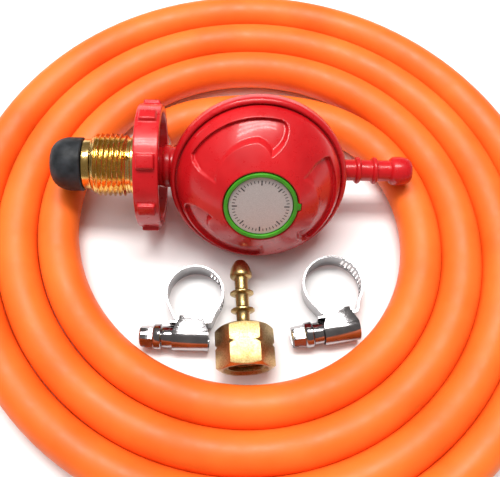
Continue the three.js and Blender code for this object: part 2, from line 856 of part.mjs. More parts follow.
// The regulator lies on three points: a lug of the wheel, the lower edge of the rim, and the end of the barb
// on top of the hose. Its height, slope and lean follow from those sizes.
function regulator() {
  const group = new THREE.Group();
  const wheelMiddle = wheelFront + wheel.width / 2;
  const ballMiddle = (ballStart + barbEnd) / 2;
  const wheelHeight = wheel.lugRadius + gap;
  const ballHeight = hose.diameter + barb.ballRadius + gap;
  const slope = Math.asin((wheelHeight - ballHeight) / (ballMiddle - wheelMiddle));
  const height = wheelHeight + wheelMiddle * Math.sin(slope);
  const edge = Math.hypot(body.rimRadius, body.rimLow);
  const lean = Math.asin((height - gap) / edge) + Math.atan(body.rimLow / body.rimRadius);
  lay(group, regulatorPlace.place, height);
  group.rotation.set(lean, slope, radians(regulatorPlace.turn), "ZYX");
  group.add(lowerBody(), upperCover(), diaphragmSheet(), ...diaphragmStack(), mainSpring(), adjusterPlug());
  group.add(labelCap(), labelDisc(), valveSeat(), ...valvePieces(), ...leverPieces());
  group.add(inletSpindle(), ...spindleFittings(), noseSeal(), polNut(), handwheel());
  return group;
}

// ---- Hose clips -----------------------------------------------------------------------------------------

// Middle line of the band: along the saddle, up the left, over the top, down the right and back through the
// housing under the first layer.
function bandLine(ring) {
  const radius = ring / 2 - clip.thick / 2;
  const layer = clip.thick + gap + 0.1;
  const inner = -radius;
  const line = [
    [clip.saddle - 0.4, inner],
    [0, inner],
    [-clip.saddle - 0.3, inner],
    [-clip.saddle - 0.9, inner + 0.5],
    [-clip.saddle - 2, inner + 2.6],
  ].map(([x, y]) => new THREE.Vector2(x, y));
  for (let angle = 212; angle >= -32; angle -= 6.1) line.push(polar(radius, radians(angle)));
  const outer = [
    [clip.saddle + 2, inner + 2.6],
    [clip.saddle + 1.2, inner + 0.3],
    [clip.saddle + 0.6, inner - layer + 0.2],
    [clip.saddle - 0.2, inner - layer],
    [0, inner - layer],
    [clip.housingLeft - 1.2, inner - layer],
  ].map(([x, y]) => new THREE.Vector2(x, y));
  return [...line, ...outer];
}

function clipBand(name, ring) {
  const lift = clip.wall + gap;
  const band = strip(bandLine(ring), clip.thick, clip.band).translate(0, 0, lift);
  const slots = [];
  for (let i = 0; i < clip.slots; i += 1) {
    const slot = block(
      [ring / 2 - 2, -clip.slotWidth / 2, -clip.slotLength / 2],
      [ring / 2 + 2, clip.slotWidth / 2, clip.slotLength / 2],
    );
    slot.rotateX(radians(8)).rotateZ(radians(clip.slotStart + i * clip.slotPitch));
    slots.push(slot.translate(0, 0, lift + clip.band / 2));
  }
  return piece(name + "_band", cut(band, ...slots), "steel");
}

const screwHeight = clip.wall + gap + clip.band / 2;

// The D-shaped section of the housing, seen along the screw: round below the screw, flat against the ring.
// Its X runs away from the ring and its Y across the band.
function housingSection(radius, top) {
  const shape = new THREE.Shape();
  shape.moveTo(top, radius);
  shape.lineTo(0, radius);
  shape.absarc(0, 0, radius, Math.PI / 2, -Math.PI / 2, true);
  shape.lineTo(top, -radius);
  return shape;
}

function clipHousing(name, ring) {
  const flat = ring / 2 - clip.thick;
  const axis = ring / 2 + clip.screwDrop;
  const outerRadius = screwHeight;
  const innerRadius = outerRadius - clip.wall;
  const saddleTop = axis - flat + gap + clip.wall;
  const length = clip.housingRight - clip.housingLeft;
  const outer = extruded(housingSection(outerRadius, -saddleTop), length);
  const innerSection = housingSection(innerRadius, -saddleTop + clip.wall);
  const inner = extruded(innerSection, length + 2).translate(0, 0, clip.wall);
  const ringLeft = clip.neck + gap;
  const neckRadius = ringLeft + clip.neckWall;
  const neck = rodZ(neckRadius, -clip.neckLength, 0.2, 24);
  const hole = rodZ(ringLeft, -clip.neckLength - 1, 2, 24);
  const bandRoom = axis - ring / 2 - clip.thick - 2 * gap;
  const saddleCut = length / 2 - (clip.housingLeft + clip.housingRight) / 2 - clip.saddle;
  const open = block([-saddleTop - 1, -20, -1], [-bandRoom, 20, saddleCut]);
  const shape = cut(join(cut(outer, inner), neck), hole, open);
  const turnToX = new THREE.Matrix4().makeBasis(
    new THREE.Vector3(0, -1, 0),
    new THREE.Vector3(0, 0, -1),
    new THREE.Vector3(1, 0, 0),
  );
  shape.applyMatrix4(turnToX).translate(clip.housingLeft, -axis, screwHeight);
  return piece(name + "_housing", shape, "steel");
}

function clipScrew(name, ring) {
  const axis = ring / 2 + clip.screwDrop;
  const neckLeft = clip.housingLeft - clip.neckLength - gap;
  const collarLeft = neckLeft - clip.collarLength;
  const headLeft = collarLeft - clip.headLength;
  const wormLeft = clip.housingLeft + clip.wall + gap;
  const crests = Math.floor((clip.housingRight - 0.4 - wormLeft) / clip.wormPitch);
  const shank = turnedX(
    [
      [0, collarLeft - 0.2],
      [clip.collar - 0.5, collarLeft - 0.2],
      [clip.collar, collarLeft + 0.5],
      [clip.collar, neckLeft],
      [clip.neck, neckLeft],
      [clip.neck, wormLeft],
      ...ringThread(clip.wormRoot, clip.worm, clip.wormPitch, crests, wormLeft),
      [0, wormLeft + crests * clip.wormPitch],
    ],
    16,
  );
  const corner = clip.headFlats / Math.sqrt(3);
  const crown = turnedX([
    [0, headLeft],
    [corner - 0.7, headLeft],
    [corner, headLeft + 0.5],
    [corner, collarLeft],
    [0, collarLeft],
  ]);
  const head = common(hexX(clip.headFlats, headLeft, collarLeft), crown);
  const slot = block([headLeft - 1, -5, -clip.slot / 2], [headLeft + clip.slotDepth, 5, clip.slot / 2]);
  const screw = join(cut(head, slot), shank);
  return piece(name + "_screw", screw.translate(0, -axis, screwHeight), "steel");
}

function hoseClip({ name, ring, turn, place }) {
  const group = new THREE.Group();
  group.add(clipBand(name, ring), clipHousing(name, ring), clipScrew(name, ring));
  lay(group, place, 0);
  group.rotation.z = radians(turn);
  return group;
}

// ---- Nozzle ---------------------------------------------------------------------------------------------

function nozzleTail() {
  const start = nozzle.hexLength - 1;
  const points = [[0, start], [nozzle.tail + 0.3, start], [nozzle.tail, nozzle.hexLength + 0.8]];
  for (const at of nozzle.ribs) {
    points.push([nozzle.tail, at - nozzle.ribWidth / 2]);
    points.push([nozzle.ribRadius, at - nozzle.ribWidth / 5]);
    points.push([nozzle.ribRadius, at + nozzle.ribWidth / 5]);
    points.push([nozzle.tail, at + nozzle.ribWidth / 2]);
  }
  const length = nozzle.length - nozzle.bulbStart;
  const bulbStart = nozzle.tail / nozzle.bulb;
  const shares = [[0, bulbStart], [0.1, 0.96], [0.22, 1], [0.5, 0.9], [0.75, 0.72], [0.93, 0.48]];
  for (const [along, wide] of shares) points.push([nozzle.bulb * wide, nozzle.bulbStart + along * length]);
  points.push([nozzle.bore + 0.3, nozzle.length], [0, nozzle.length]);
  return turnedX(points, 20);
}

function nozzleNut() {
  const corner = nozzle.flats / Math.sqrt(3);
  const flatRadius = nozzle.flats / 2;
  const crown = turnedX([
    [0, 0],
    [flatRadius - 0.3, 0],
    [corner, nozzle.chamfer * 0.7],
    [corner, nozzle.hexLength - nozzle.chamfer],
    [flatRadius - 1, nozzle.hexLength],
    [0, nozzle.hexLength],
  ]);
  const groove = turnedX([
    [corner - nozzle.notch, nozzle.notchAt],
    [corner + 1, nozzle.notchAt - nozzle.notch - 1],
    [corner + 1, nozzle.notchAt + nozzle.notch + 1],
  ]);
  const hexagon = common(hexX(nozzle.flats, 0, nozzle.hexLength), crown);
  const socket = turnedX([
    [0, -1],
    [nozzle.mouth + 1, -1],
    [nozzle.socket, nozzle.mouth - nozzle.socket],
    [nozzle.socket, nozzle.socketDepth],
    [nozzle.bore, nozzle.socketDepth + 2],
    [nozzle.bore, nozzle.length + 1],
    [0, nozzle.length + 1],
  ]);
  const whole = cut(join(cut(hexagon, groove), nozzleTail()), socket);
  const mesh = piece("hose_nozzle", whole, "brass");
  lay(mesh, nozzle.place, flatRadius);
  mesh.rotation.z = radians(90 + nozzle.turn);
  return mesh;
}

// ---- Assembly -------------------------------------------------------------------------------------------

const kit = new THREE.Group();
kit.add(regulator(), ...clips.map(hoseClip), nozzleNut());
const part = new THREE.Group();
part.add(kit, hoseCoil());
kit.updateMatrixWorld(true);
const box = new THREE.Box3().setFromObject(kit, true);
const middle = box.getCenter(new THREE.Vector3());
part.children.forEach((child) => child.position.set(-middle.x, -middle.y, -box.min.z));

const assembly = new THREE.Group();
assembly.add(part);
export default assembly;
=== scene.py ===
"""Looks of the propane regulator hose kit: an orange gas hose wound flat on a pale floor, with a red
regulator, two steel hose clips and a brass nozzle lying inside the coil. Local shapes are in
millimetres, in the same local frames as the CAD part, and MM turns them into metres."""

import json
import math

import bmesh
import bpy
import numpy as np
from mathutils import Matrix, Vector


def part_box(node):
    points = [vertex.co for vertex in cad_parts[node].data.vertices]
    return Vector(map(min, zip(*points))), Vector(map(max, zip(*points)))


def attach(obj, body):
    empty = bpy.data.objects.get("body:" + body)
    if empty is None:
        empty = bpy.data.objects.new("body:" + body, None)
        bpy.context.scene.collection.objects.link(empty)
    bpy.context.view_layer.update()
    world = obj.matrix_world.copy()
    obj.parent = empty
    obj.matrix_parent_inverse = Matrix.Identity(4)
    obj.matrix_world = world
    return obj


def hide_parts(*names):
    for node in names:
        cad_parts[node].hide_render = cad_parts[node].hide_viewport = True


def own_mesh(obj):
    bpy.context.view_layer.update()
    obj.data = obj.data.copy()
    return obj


MM = 0.001
TAU = 2 * math.pi

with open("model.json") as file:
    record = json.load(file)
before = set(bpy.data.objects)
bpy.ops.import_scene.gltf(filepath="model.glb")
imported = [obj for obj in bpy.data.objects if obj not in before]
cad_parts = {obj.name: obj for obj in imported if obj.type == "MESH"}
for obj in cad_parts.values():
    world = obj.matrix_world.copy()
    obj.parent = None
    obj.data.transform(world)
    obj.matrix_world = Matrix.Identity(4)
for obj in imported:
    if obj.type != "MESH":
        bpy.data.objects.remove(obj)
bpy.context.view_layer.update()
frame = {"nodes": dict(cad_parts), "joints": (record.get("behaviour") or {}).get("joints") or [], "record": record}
nodes = frame["nodes"]
joints = {joint["name"]: joint for joint in frame["joints"]}
mounts = {mount["name"]: mount for mount in frame["record"]["mounts"]}

# ---- Driving sizes, in millimetres, as in the CAD part

HOSE = dict(
    diameter=15.0, bore=8.0, liner=11.0, braid=12.4, length=2000.0, start_radius=59.0, pitch=15.3,
    start_angle=131.0, tuck_start=3.5, tuck=7.3, tuck_deepest=0.1, tuck_faded=0.28, out_of_round=1.1,
    long_axis=-33.0, drift=(0.7, -1.2), drift_faded=3.2,
)
BODY = dict(
    rim=31.6, rim_low=7.7, rim_top=12.6, lip=29.6, bottom=-13.0, bottom_radius=15.5, waist=25.9,
    neck=7.2, neck_end=-38.2, ledge=8.4, wall=2.3,
)
BARB = dict(
    radius=3.95, rib=5.05, ball=5.35, face=3.5, ribs=(37.5, 43.8), ball_start=49.6, end=57.8, bore=2.4,
    boss=6.2, start=18.0, boss_end=29.0,
)
COVER = dict(
    height=29.1, radius=29.1, cap_hole=12.7, hole_edge=0.5, recess=2.2, skin=3.0, crescents=3,
    crescent_depth=2.3, crescent_wall=0.6, crescent_rim=2.4, crescent_width=5.4,
)
CAP = dict(radius=12.4, rim=1.3, proud=0.5, tab_width=2.4, tab_length=1.1)
NUT = dict(
    front=-60.2, crest=11.45, root=10.3, pitch=1.814, thread=12.6, collar=11.0, flats=17.0, back=-38.6,
    bore=5.9, weep=0.95, weep_at=-47.2, weep_turn=40.0,
)
WHEEL = dict(radius=22.4, lug=24.0, lugs=8, lug_width=5.0, lug_length=6.0, width=8.6, front=-43.3, turn=29.5)
SPINDLE = dict(
    collar=9.2, width=2.8, nose=11.7, nose_radius=9.75, bore=2.2, radius=5.5, end=-27.0, stub=5.0,
    stub_length=6.5, pocket=1.2, pocket_depth=3.0,
)
CLIP = dict(band=8.0, thick=0.6, wall=0.5, drop=5.2, lift=0.8, left=-7.1, right=5.8, saddle=5.6,
    tab_left=-4.7, tab_right=3.6)
CLIP_RINGS = {"clip_1": 21.2, "clip_2": 22.2}
NOZZLE = dict(
    flats=18.0, hexagon=15.3, notch=0.8, notch_at=8.2, socket=6.9, mouth=7.8, depth=11.5, bore=1.4,
    tail=2.4, ribs=(21.5, 28.0), rib=4.3, bulb=4.05, bulb_start=33.6, length=40.5,
    thread=0.75, thread_pitch=1.5,
)
GAP = 0.3  # clearance between pieces that touch
HOSE_SIDES = 40
BRAID_ROWS = (2, 3, 4)  # rings of a cut end that show the braid, counted from either side
FLOOR_PLAIN, FLOOR_WHITE = 200.0, 420.0  # distances over which the floor fades to plain white


# ---- Local frames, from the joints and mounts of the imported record


def frame_from(origin, x_axis, z_axis):
    """The matrix of a local frame from its origin, its X axis and roughly its Z axis."""
    x_axis = Vector(x_axis).normalized()
    y_axis = Vector(z_axis).cross(x_axis).normalized()
    z_axis = x_axis.cross(y_axis)
    matrix = Matrix((x_axis, y_axis, z_axis)).transposed().to_4x4()
    matrix.translation = origin
    return matrix


def regulator_frame():
    """X is the gas line and Z the dome's axis; the adjuster's hinge is 20 mm up the dome's axis."""
    dome_axis = Vector(joints["adjuster_turn"]["axis"])
    adjuster_height = 20 * MM
    origin = Vector(joints["adjuster_turn"]["pos_m"]) - dome_axis * adjuster_height
    return frame_from(origin, joints["hand_nut_turn"]["axis"], dome_axis)


def clip_frame(name):
    """The middle of the clip's ring on the floor, with X along its screw."""
    hinge = joints[name + "_screw_turn"]
    matrix = frame_from(hinge["pos_m"], hinge["axis"], (0, 0, 1))
    across = matrix.col[1].xyz * (CLIP_RINGS[name] / 2 + CLIP["drop"]) * MM
    matrix.translation = Vector((*(matrix.translation + across).xy, 0))
    return matrix


def nozzle_frame():
    """The middle of the nozzle's mouth, with X along its bore."""
    mount = mounts["pipe_side"]
    low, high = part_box("hose_nozzle")
    origin = Vector((mount["pos_m"][0], mount["pos_m"][1], high.z - NOZZLE["flats"] / 2 * MM))
    return frame_from(origin, -Vector(mount["axis"]), (0, 0, 1))


def smooth_step(value, start, end):
    share = min(max((value - start) / (end - start), 0), 1)
    return share * share * (3 - 2 * share)


def coil_radius(turns):
    rise = smooth_step(turns, 0, HOSE["tuck_deepest"])
    deepest = HOSE["tuck_start"] + (HOSE["tuck"] - HOSE["tuck_start"]) * rise
    tuck = deepest * (1 - smooth_step(turns, HOSE["tuck_deepest"], HOSE["tuck_faded"]))
    ovality = HOSE["out_of_round"] * math.cos(2 * (coil_angle(turns) - math.radians(HOSE["long_axis"])))
    return HOSE["start_radius"] + HOSE["pitch"] * turns - tuck + ovality


def coil_angle(turns):
    return math.radians(HOSE["start_angle"]) - turns * TAU


def coil_point(turns):
    radius, angle = coil_radius(turns), coil_angle(turns)
    drift = Vector((*HOSE["drift"], 0)) * max(1 - turns / HOSE["drift_faded"], 0)
    return Vector((radius * math.cos(angle), radius * math.sin(angle), 0)) + drift


def coil_line(points_per_turn=120):
    """Points along the wound hose's middle, in millimetres from the coil's middle."""
    line = [coil_point(0)]
    turns, wound = 0.0, 0.0
    while wound < HOSE["length"]:
        turns += 1 / points_per_turn
        line.append(coil_point(turns))
        wound += (line[-1] - line[-2]).length
    return line


def coil_middle(line):
    low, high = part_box("hose_coil")
    half = HOSE["diameter"] / 2
    left = min(point.x for point in line) - half
    near = min(point.y for point in line) - half
    return Vector((low.x - left * MM, low.y - near * MM, half * MM))


# ---- Mesh helpers


def add_object(name, data):
    added = bpy.data.objects.new(name, data)
    bpy.context.scene.collection.objects.link(added)
    return added


def make(name, points, faces, material, matrix=None, crease=35.0):
    """A named piece from points in millimetres and faces, with its normals turned outwards."""
    mesh = bpy.data.meshes.new(name)
    mesh.from_pydata([Vector(point) * MM for point in points], [], faces)
    piece = add_object(name, mesh)
    if matrix is not None:
        piece.matrix_world = matrix
    if material is not None:
        mesh.materials.append(material)
    clean(piece, crease)
    return piece


def clean(piece, crease=35.0):
    """Welds doubled points, drops empty faces, turns normals outwards and smooths all but sharp edges."""
    work = bmesh.new()
    work.from_mesh(piece.data)
    bmesh.ops.remove_doubles(work, verts=work.verts, dist=1e-6)
    bmesh.ops.dissolve_degenerate(work, edges=work.edges, dist=1e-6)
    bmesh.ops.recalc_face_normals(work, faces=work.faces)
    work.to_mesh(piece.data)
    work.free()
    piece.data.shade_smooth()
    piece.data.set_sharp_from_angle(angle=math.radians(crease))


def apply_modifiers(piece, crease=35.0):
    graph = bpy.context.evaluated_depsgraph_get()
    graph.update()
    baked = bpy.data.meshes.new_from_object(piece.evaluated_get(graph))
    old = piece.data
    piece.modifiers.clear()
    piece.data = baked
    bpy.data.meshes.remove(old)
    clean(piece, crease)


def combine(piece, *tools, operation="DIFFERENCE", crease=35.0):
    """Joins or cuts a piece with others in the same local frame, and removes the others."""
    bpy.context.view_layer.update()
    for tool in tools:
        modifier = piece.modifiers.new("combine", "BOOLEAN")
        modifier.operation = operation
        modifier.solver = "EXACT"
        modifier.object = tool
    apply_modifiers(piece, crease)
    for tool in tools:
        bpy.data.objects.remove(tool)


def bevelled(piece, width, segments=2, angle=40.0, crease=35.0):
    modifier = piece.modifiers.new("edges", "BEVEL")
    modifier.width = width * MM
    modifier.segments = segments
    modifier.limit_method = "ANGLE"
    modifier.angle_limit = math.radians(angle)
    apply_modifiers(piece, crease)


def rounded(outline, cut, steps=3, closed=False):
    """An outline of 2-D points with each corner turned into a short curve."""
    points = [Vector(point) for point in outline]
    result = []
    for i, corner in enumerate(points):
        if not closed and i in (0, len(points) - 1):
            result.append(corner)
            continue
        before, after = points[i - 1], points[(i + 1) % len(points)]
        start = corner + (before - corner).normalized() * min(cut, (before - corner).length * 0.45)
        end = corner + (after - corner).normalized() * min(cut, (after - corner).length * 0.45)
        for step in range(steps + 1):
            share = step / steps
            result.append(start.lerp(corner, share).lerp(corner.lerp(end, share), share))
    return result


def turned(rows, sides=96, about="Z", closed=False, angles=None):
    """Points and faces turned from (radius, height) rows; a radius may be a function of the angle."""
    angles = angles or [TAU * i / sides for i in range(sides)]
    count = len(angles)
    points, faces, rings = [], [], []
    for radius, height in rows:
        if not callable(radius) and radius < 1e-6:
            rings.append([len(points)] * count)
            points.append(Vector((height, 0, 0)) if about == "X" else Vector((0, 0, height)))
            continue
        rings.append(list(range(len(points), len(points) + count)))
        for angle in angles:
            reach = radius(angle) if callable(radius) else radius
            across, up = reach * math.cos(angle), reach * math.sin(angle)
            points.append(Vector((height, across, up)) if about == "X" else Vector((across, up, height)))
    pairs = list(zip(rings, rings[1:])) + ([(rings[-1], rings[0])] if closed else [])
    for low, high in pairs:
        for i in range(count):
            j = (i + 1) % count
            corners = list(dict.fromkeys((low[i], low[j], high[j], high[i])))
            if len(corners) > 2:
                faces.append(corners)
    return points, faces


def ring_faces(rings, sides):
    """Faces between rings of points, with the last ring joined to the first."""
    faces = []
    for r in range(rings):
        nxt = (r + 1) % rings
        for k in range(sides):
            j = (k + 1) % sides
            faces.append([r * sides + k, r * sides + j, nxt * sides + j, nxt * sides + k])
    return faces


def lathe(name, outline, material=None, matrix=None, about="Z", sides=96, cut=0.0, closed=False):
    rows = rounded(outline, cut, closed=closed) if cut else outline
    return make(name, *turned(rows, sides, about, closed), material, matrix)


def prism(name, outline, low, high, material=None, matrix=None, along="Z"):
    """A solid with a flat outline of 2-D points, from one height to another along an axis."""
    count = len(outline)
    place = {"Z": lambda a, b, h: (a, b, h), "X": lambda a, b, h: (h, a, b)}[along]
    points = [place(p[0], p[1], height) for height in (low, high) for p in outline]
    faces = [list(range(count)), list(range(count, 2 * count))]
    faces += [[i, (i + 1) % count, count + (i + 1) % count, count + i] for i in range(count)]
    return make(name, points, faces, material, matrix)


def box(name, low, high, matrix=None):
    outline = [(low[0], low[1]), (high[0], low[1]), (high[0], high[1]), (low[0], high[1])]
    return prism(name, outline, low[2], high[2], matrix=matrix)


def hexagon(flats):
    """The radius of a hexagon at an angle from one of its corners."""
    return lambda angle: flats / 2 / math.cos((angle % (TAU / 6)) - TAU / 12)


def thread_rows(root, crest, pitch, start, end, hand, fade=0.7, steps_per_turn=10):
    """Rows of a real helical V thread; hand is 1 for right and -1 for left."""
    count = max(2, round((end - start) / pitch * steps_per_turn))
    rows = []
    for i in range(count + 1):
        height = start + (end - start) * i / count
        depth = min(1, (height - start) / (fade * pitch), (end - height) / (fade * pitch))

        def radius(angle, height=height, depth=depth):
            phase = ((height - start) / pitch - hand * angle / TAU) % 1
            wave = 1 - abs(2 * phase - 1)
            flank = min(max((wave - 0.12) / 0.76, 0), 1)
            return root + (crest - root) * flank * depth

        rows.append((radius, height))
    return rows


def polygon_distance(points, outline):
    """The distance from each 2-D point to a closed outline, below 0 inside it."""
    starts = np.array(outline)
    sides = np.roll(starts, -1, axis=0) - starts
    offset = points[:, None, :] - starts[None]
    share = np.clip((offset * sides).sum(2) / (sides * sides).sum(1), 0, 1)
    away = np.linalg.norm(offset - share[..., None] * sides, axis=2).min(1)
    x, y = points[:, 0:1], points[:, 1:2]
    x0, y0 = starts[:, 0], starts[:, 1]
    x1, y1 = (starts + sides)[:, 0], (starts + sides)[:, 1]
    rise = np.where(np.abs(y1 - y0) < 1e-9, 1e-9, y1 - y0)
    crossed = ((y0 > y) != (y1 > y)) & (x < (x1 - x0) * (y - y0) / rise + x0)
    return np.where(crossed.sum(1) % 2 == 1, -away, away)


# ---- Materials


class Shade:
    """A small helper that builds a Principled material with object-space detail."""

    def __init__(self, name, color, roughness, metallic=0.0, coat=0.0, specular=0.5):
        self.material = bpy.data.materials.new(name)
        self.material.use_nodes = True
        self.nodes = self.material.node_tree.nodes
        self.links = self.material.node_tree.links
        self.shader = self.nodes["Principled BSDF"]
        self.place = self.nodes.new("ShaderNodeTexCoord").outputs["Object"]
        self.set(self.shader, "Base Color", (*color, 1))
        self.set(self.shader, "Roughness", roughness)
        self.set(self.shader, "Metallic", metallic)
        self.set(self.shader, "Coat Weight", coat)
        self.set(self.shader, "Coat Roughness", 0.08)
        self.set(self.shader, "Specular IOR Level", specular)
        self.bump_from = None

    @staticmethod
    def set(node, socket, value):
        node.inputs[socket].default_value = value

    def noise(self, scale, detail=3.0, stretch=(1, 1, 1)):
        """A noise field, scale in features per metre."""
        mapping = self.nodes.new("ShaderNodeMapping")
        self.set(mapping, "Scale", stretch)
        texture = self.nodes.new("ShaderNodeTexNoise")
        self.set(texture, "Scale", scale)
        self.set(texture, "Detail", detail)
        self.set(texture, "Roughness", 0.55)
        self.links.new(self.place, mapping.inputs["Vector"])
        self.links.new(mapping.outputs["Vector"], texture.inputs["Vector"])
        return texture.outputs["Fac"]

    def specks(self, scale):
        texture = self.nodes.new("ShaderNodeTexVoronoi")
        self.set(texture, "Scale", scale)
        self.links.new(self.place, texture.inputs["Vector"])
        return texture.outputs["Distance"]

    def spread(self, field, low, high, start=0.3, end=0.7):
        """A field stretched from one range to another."""
        remap = self.nodes.new("ShaderNodeMapRange")
        for socket, value in zip(("From Min", "From Max", "To Min", "To Max"), (start, end, low, high)):
            self.set(remap, socket, value)
        self.links.new(field, remap.inputs["Value"])
        return remap.outputs["Result"]

    def tint(self, field, first, second):
        """Base colour that goes from one colour to another with a field."""
        ramp = self.nodes.new("ShaderNodeValToRGB")
        for element, position, color in zip(ramp.color_ramp.elements, (0.35, 0.65), (first, second)):
            element.position = position
            element.color = (*color, 1)
        self.links.new(field, ramp.inputs["Fac"])
        self.links.new(ramp.outputs["Color"], self.shader.inputs["Base Color"])

    def rough(self, field, low, high):
        self.links.new(self.spread(field, low, high), self.shader.inputs["Roughness"])

    def bump(self, field, strength, distance):
        """Adds a layer of bump; distance in millimetres."""
        node = self.nodes.new("ShaderNodeBump")
        self.set(node, "Strength", strength)
        self.set(node, "Distance", distance * MM)
        self.links.new(field, node.inputs["Height"])
        if self.bump_from is not None:
            self.links.new(self.bump_from, node.inputs["Normal"])
        self.bump_from = node.outputs["Normal"]
        self.links.new(self.bump_from, self.shader.inputs["Normal"])

    def rings(self, axis, scale):
        """Fine turned rings across an axis."""
        wave = self.nodes.new("ShaderNodeTexWave")
        wave.wave_type = "BANDS"
        wave.bands_direction = axis
        self.set(wave, "Scale", scale)
        self.set(wave, "Distortion", 1.5)
        self.set(wave, "Detail", 2.0)
        self.links.new(self.place, wave.inputs["Vector"])
        return wave.outputs["Fac"]


def red_paint():
    shade = Shade("red_gloss_paint", (0.54, 0.008, 0.012), 0.3, coat=0.25, specular=0.4)
    shade.tint(shade.noise(60), (0.5, 0.006, 0.01), (0.6, 0.011, 0.015))
    shade.rough(shade.noise(260), 0.24, 0.38)
    shade.bump(shade.noise(420, 2), 0.25, 0.08)
    shade.bump(shade.noise(1500, 2), 0.15, 0.02)
    return shade.material


def orange_rubber():
    shade = Shade("orange_hose_rubber", (0.93, 0.16, 0.018), 0.45, specular=0.4)
    shade.tint(shade.noise(28, 4), (0.84, 0.13, 0.012), (0.97, 0.18, 0.022))
    shade.rough(shade.noise(180), 0.4, 0.56)
    shade.bump(shade.noise(70, 3), 0.3, 0.25)
    shade.bump(shade.noise(900, 3), 0.2, 0.03)
    return shade.material


def brass_metal(name, rings_axis):
    shade = Shade(name, (0.86, 0.6, 0.2), 0.2, metallic=1)
    shade.tint(shade.noise(90), (0.78, 0.52, 0.15), (0.92, 0.66, 0.25))
    shade.rough(shade.noise(500), 0.14, 0.3)
    shade.bump(shade.rings(rings_axis, 900), 0.12, 0.02)
    shade.bump(shade.noise(1800, 2), 0.1, 0.01)
    return shade.material


def cast_brass():
    shade = Shade("forged_brass_flats", (0.5, 0.35, 0.14), 0.34, metallic=1)
    shade.tint(shade.noise(1900, 4), (0.4, 0.27, 0.09), (0.62, 0.46, 0.22))
    shade.rough(shade.noise(700), 0.28, 0.42)
    shade.bump(shade.noise(1600, 4), 0.3, 0.03)
    return shade.material


def polished_steel():
    shade = Shade("polished_steel", (0.4, 0.39, 0.4), 0.14, metallic=1)
    shade.tint(shade.noise(150), (0.34, 0.33, 0.34), (0.46, 0.45, 0.46))
    shade.rough(shade.noise(300, 3, (1, 12, 1)), 0.1, 0.22)
    shade.bump(shade.noise(900, 2, (1, 10, 1)), 0.08, 0.01)
    return shade.material


def dark_rubber():
    shade = Shade("black_nitrile", (0.014, 0.016, 0.02), 0.5, specular=0.4)
    shade.tint(shade.noise(220, 5), (0.008, 0.01, 0.012), (0.028, 0.032, 0.038))
    shade.rough(shade.noise(400), 0.42, 0.65)
    shade.bump(shade.noise(1100, 4), 0.5, 0.06)
    return shade.material


def green_plastic():
    shade = Shade("green_moulded_plastic", (0.05, 0.3, 0.012), 0.35)
    shade.tint(shade.noise(150), (0.04, 0.26, 0.01), (0.065, 0.36, 0.018))
    shade.rough(shade.noise(500), 0.3, 0.45)
    shade.bump(shade.noise(1400, 2), 0.15, 0.02)
    return shade.material


def label_foil():
    shade = Shade("label_foil", (0.6, 0.58, 0.58), 0.35, metallic=0.35)
    shade.tint(shade.noise(3200, 4), (0.52, 0.49, 0.48), (0.62, 0.59, 0.58))
    shade.rough(shade.noise(2700), 0.34, 0.42)
    shade.bump(shade.noise(2500, 3), 0.12, 0.01)
    return shade.material


def label_ink():
    shade = Shade("label_ink", (0.02, 0.02, 0.022), 0.5)
    shade.tint(shade.noise(900, 4), (0.015, 0.015, 0.018), (0.04, 0.04, 0.045))
    return shade.material


def braid_textile():
    shade = Shade("hose_braid", (0.75, 0.72, 0.64), 0.8)
    shade.tint(shade.noise(2500, 4), (0.55, 0.52, 0.45), (0.85, 0.82, 0.74))
    shade.bump(shade.specks(3000), 0.6, 0.1)
    return shade.material


def plated_steel():
    shade = Shade("zinc_plated_steel", (0.6, 0.61, 0.63), 0.3, metallic=1)
    shade.tint(shade.noise(200), (0.52, 0.53, 0.55), (0.7, 0.71, 0.72))
    shade.rough(shade.noise(500), 0.24, 0.4)
    shade.bump(shade.noise(1200), 0.1, 0.01)
    return shade.material


RED = red_paint()
ORANGE = orange_rubber()
BRASS = brass_metal("turned_brass", "X")
NOZZLE_BRASS = brass_metal("nozzle_brass", "Y")
BRASS_FLATS = cast_brass()
STEEL = polished_steel()
PLATED = plated_steel()
RUBBER = dark_rubber()
GREEN = green_plastic()
FOIL = label_foil()
INK = label_ink()
BRAID = braid_textile()

REGULATOR = regulator_frame()


# ---- Camera


def add_camera(middle):
    """The photograph's view: from above and in front, aimed near the coil's middle on the floor."""
    elevation, roll = math.radians(65.209), 0.0258766
    distance, lens, sensor = 0.247763, 45.345, 36.0
    aim = Vector((middle.x + 0.001109, middle.y - 0.002365, 0))
    back = Vector((0, -math.cos(elevation), math.sin(elevation)))
    right = Vector((1, 0, 0))
    up = back.cross(right)
    turned_right = right * math.cos(roll) + up * math.sin(roll)
    turned_up = up * math.cos(roll) - right * math.sin(roll)
    data = bpy.data.cameras.new("camera")
    data.lens, data.sensor_width, data.sensor_fit = lens, sensor, "HORIZONTAL"
    data.clip_start, data.clip_end = 0.01, 20
    camera = add_object("camera", data)
    matrix = Matrix((turned_right, turned_up, back)).transposed().to_4x4()
    matrix.translation = aim + back * distance
    camera.matrix_world = matrix
    bpy.context.scene.camera = camera


# ---- Hose


def hose_section():
    """The hose's cut end from outside in: (radius, how far it stands back from the end)."""
    outer = HOSE["diameter"] / 2
    braid, liner, bore = HOSE["braid"] / 2, HOSE["liner"] / 2, HOSE["bore"] / 2
    edge, bore_edge, set_back = 0.25, 0.2, 0.25
    return [
        (outer, edge), (outer - edge, 0), (braid, 0), (braid, set_back), (liner, set_back), (liner, 0),
        (bore + bore_edge, 0), (bore, bore_edge),
    ]


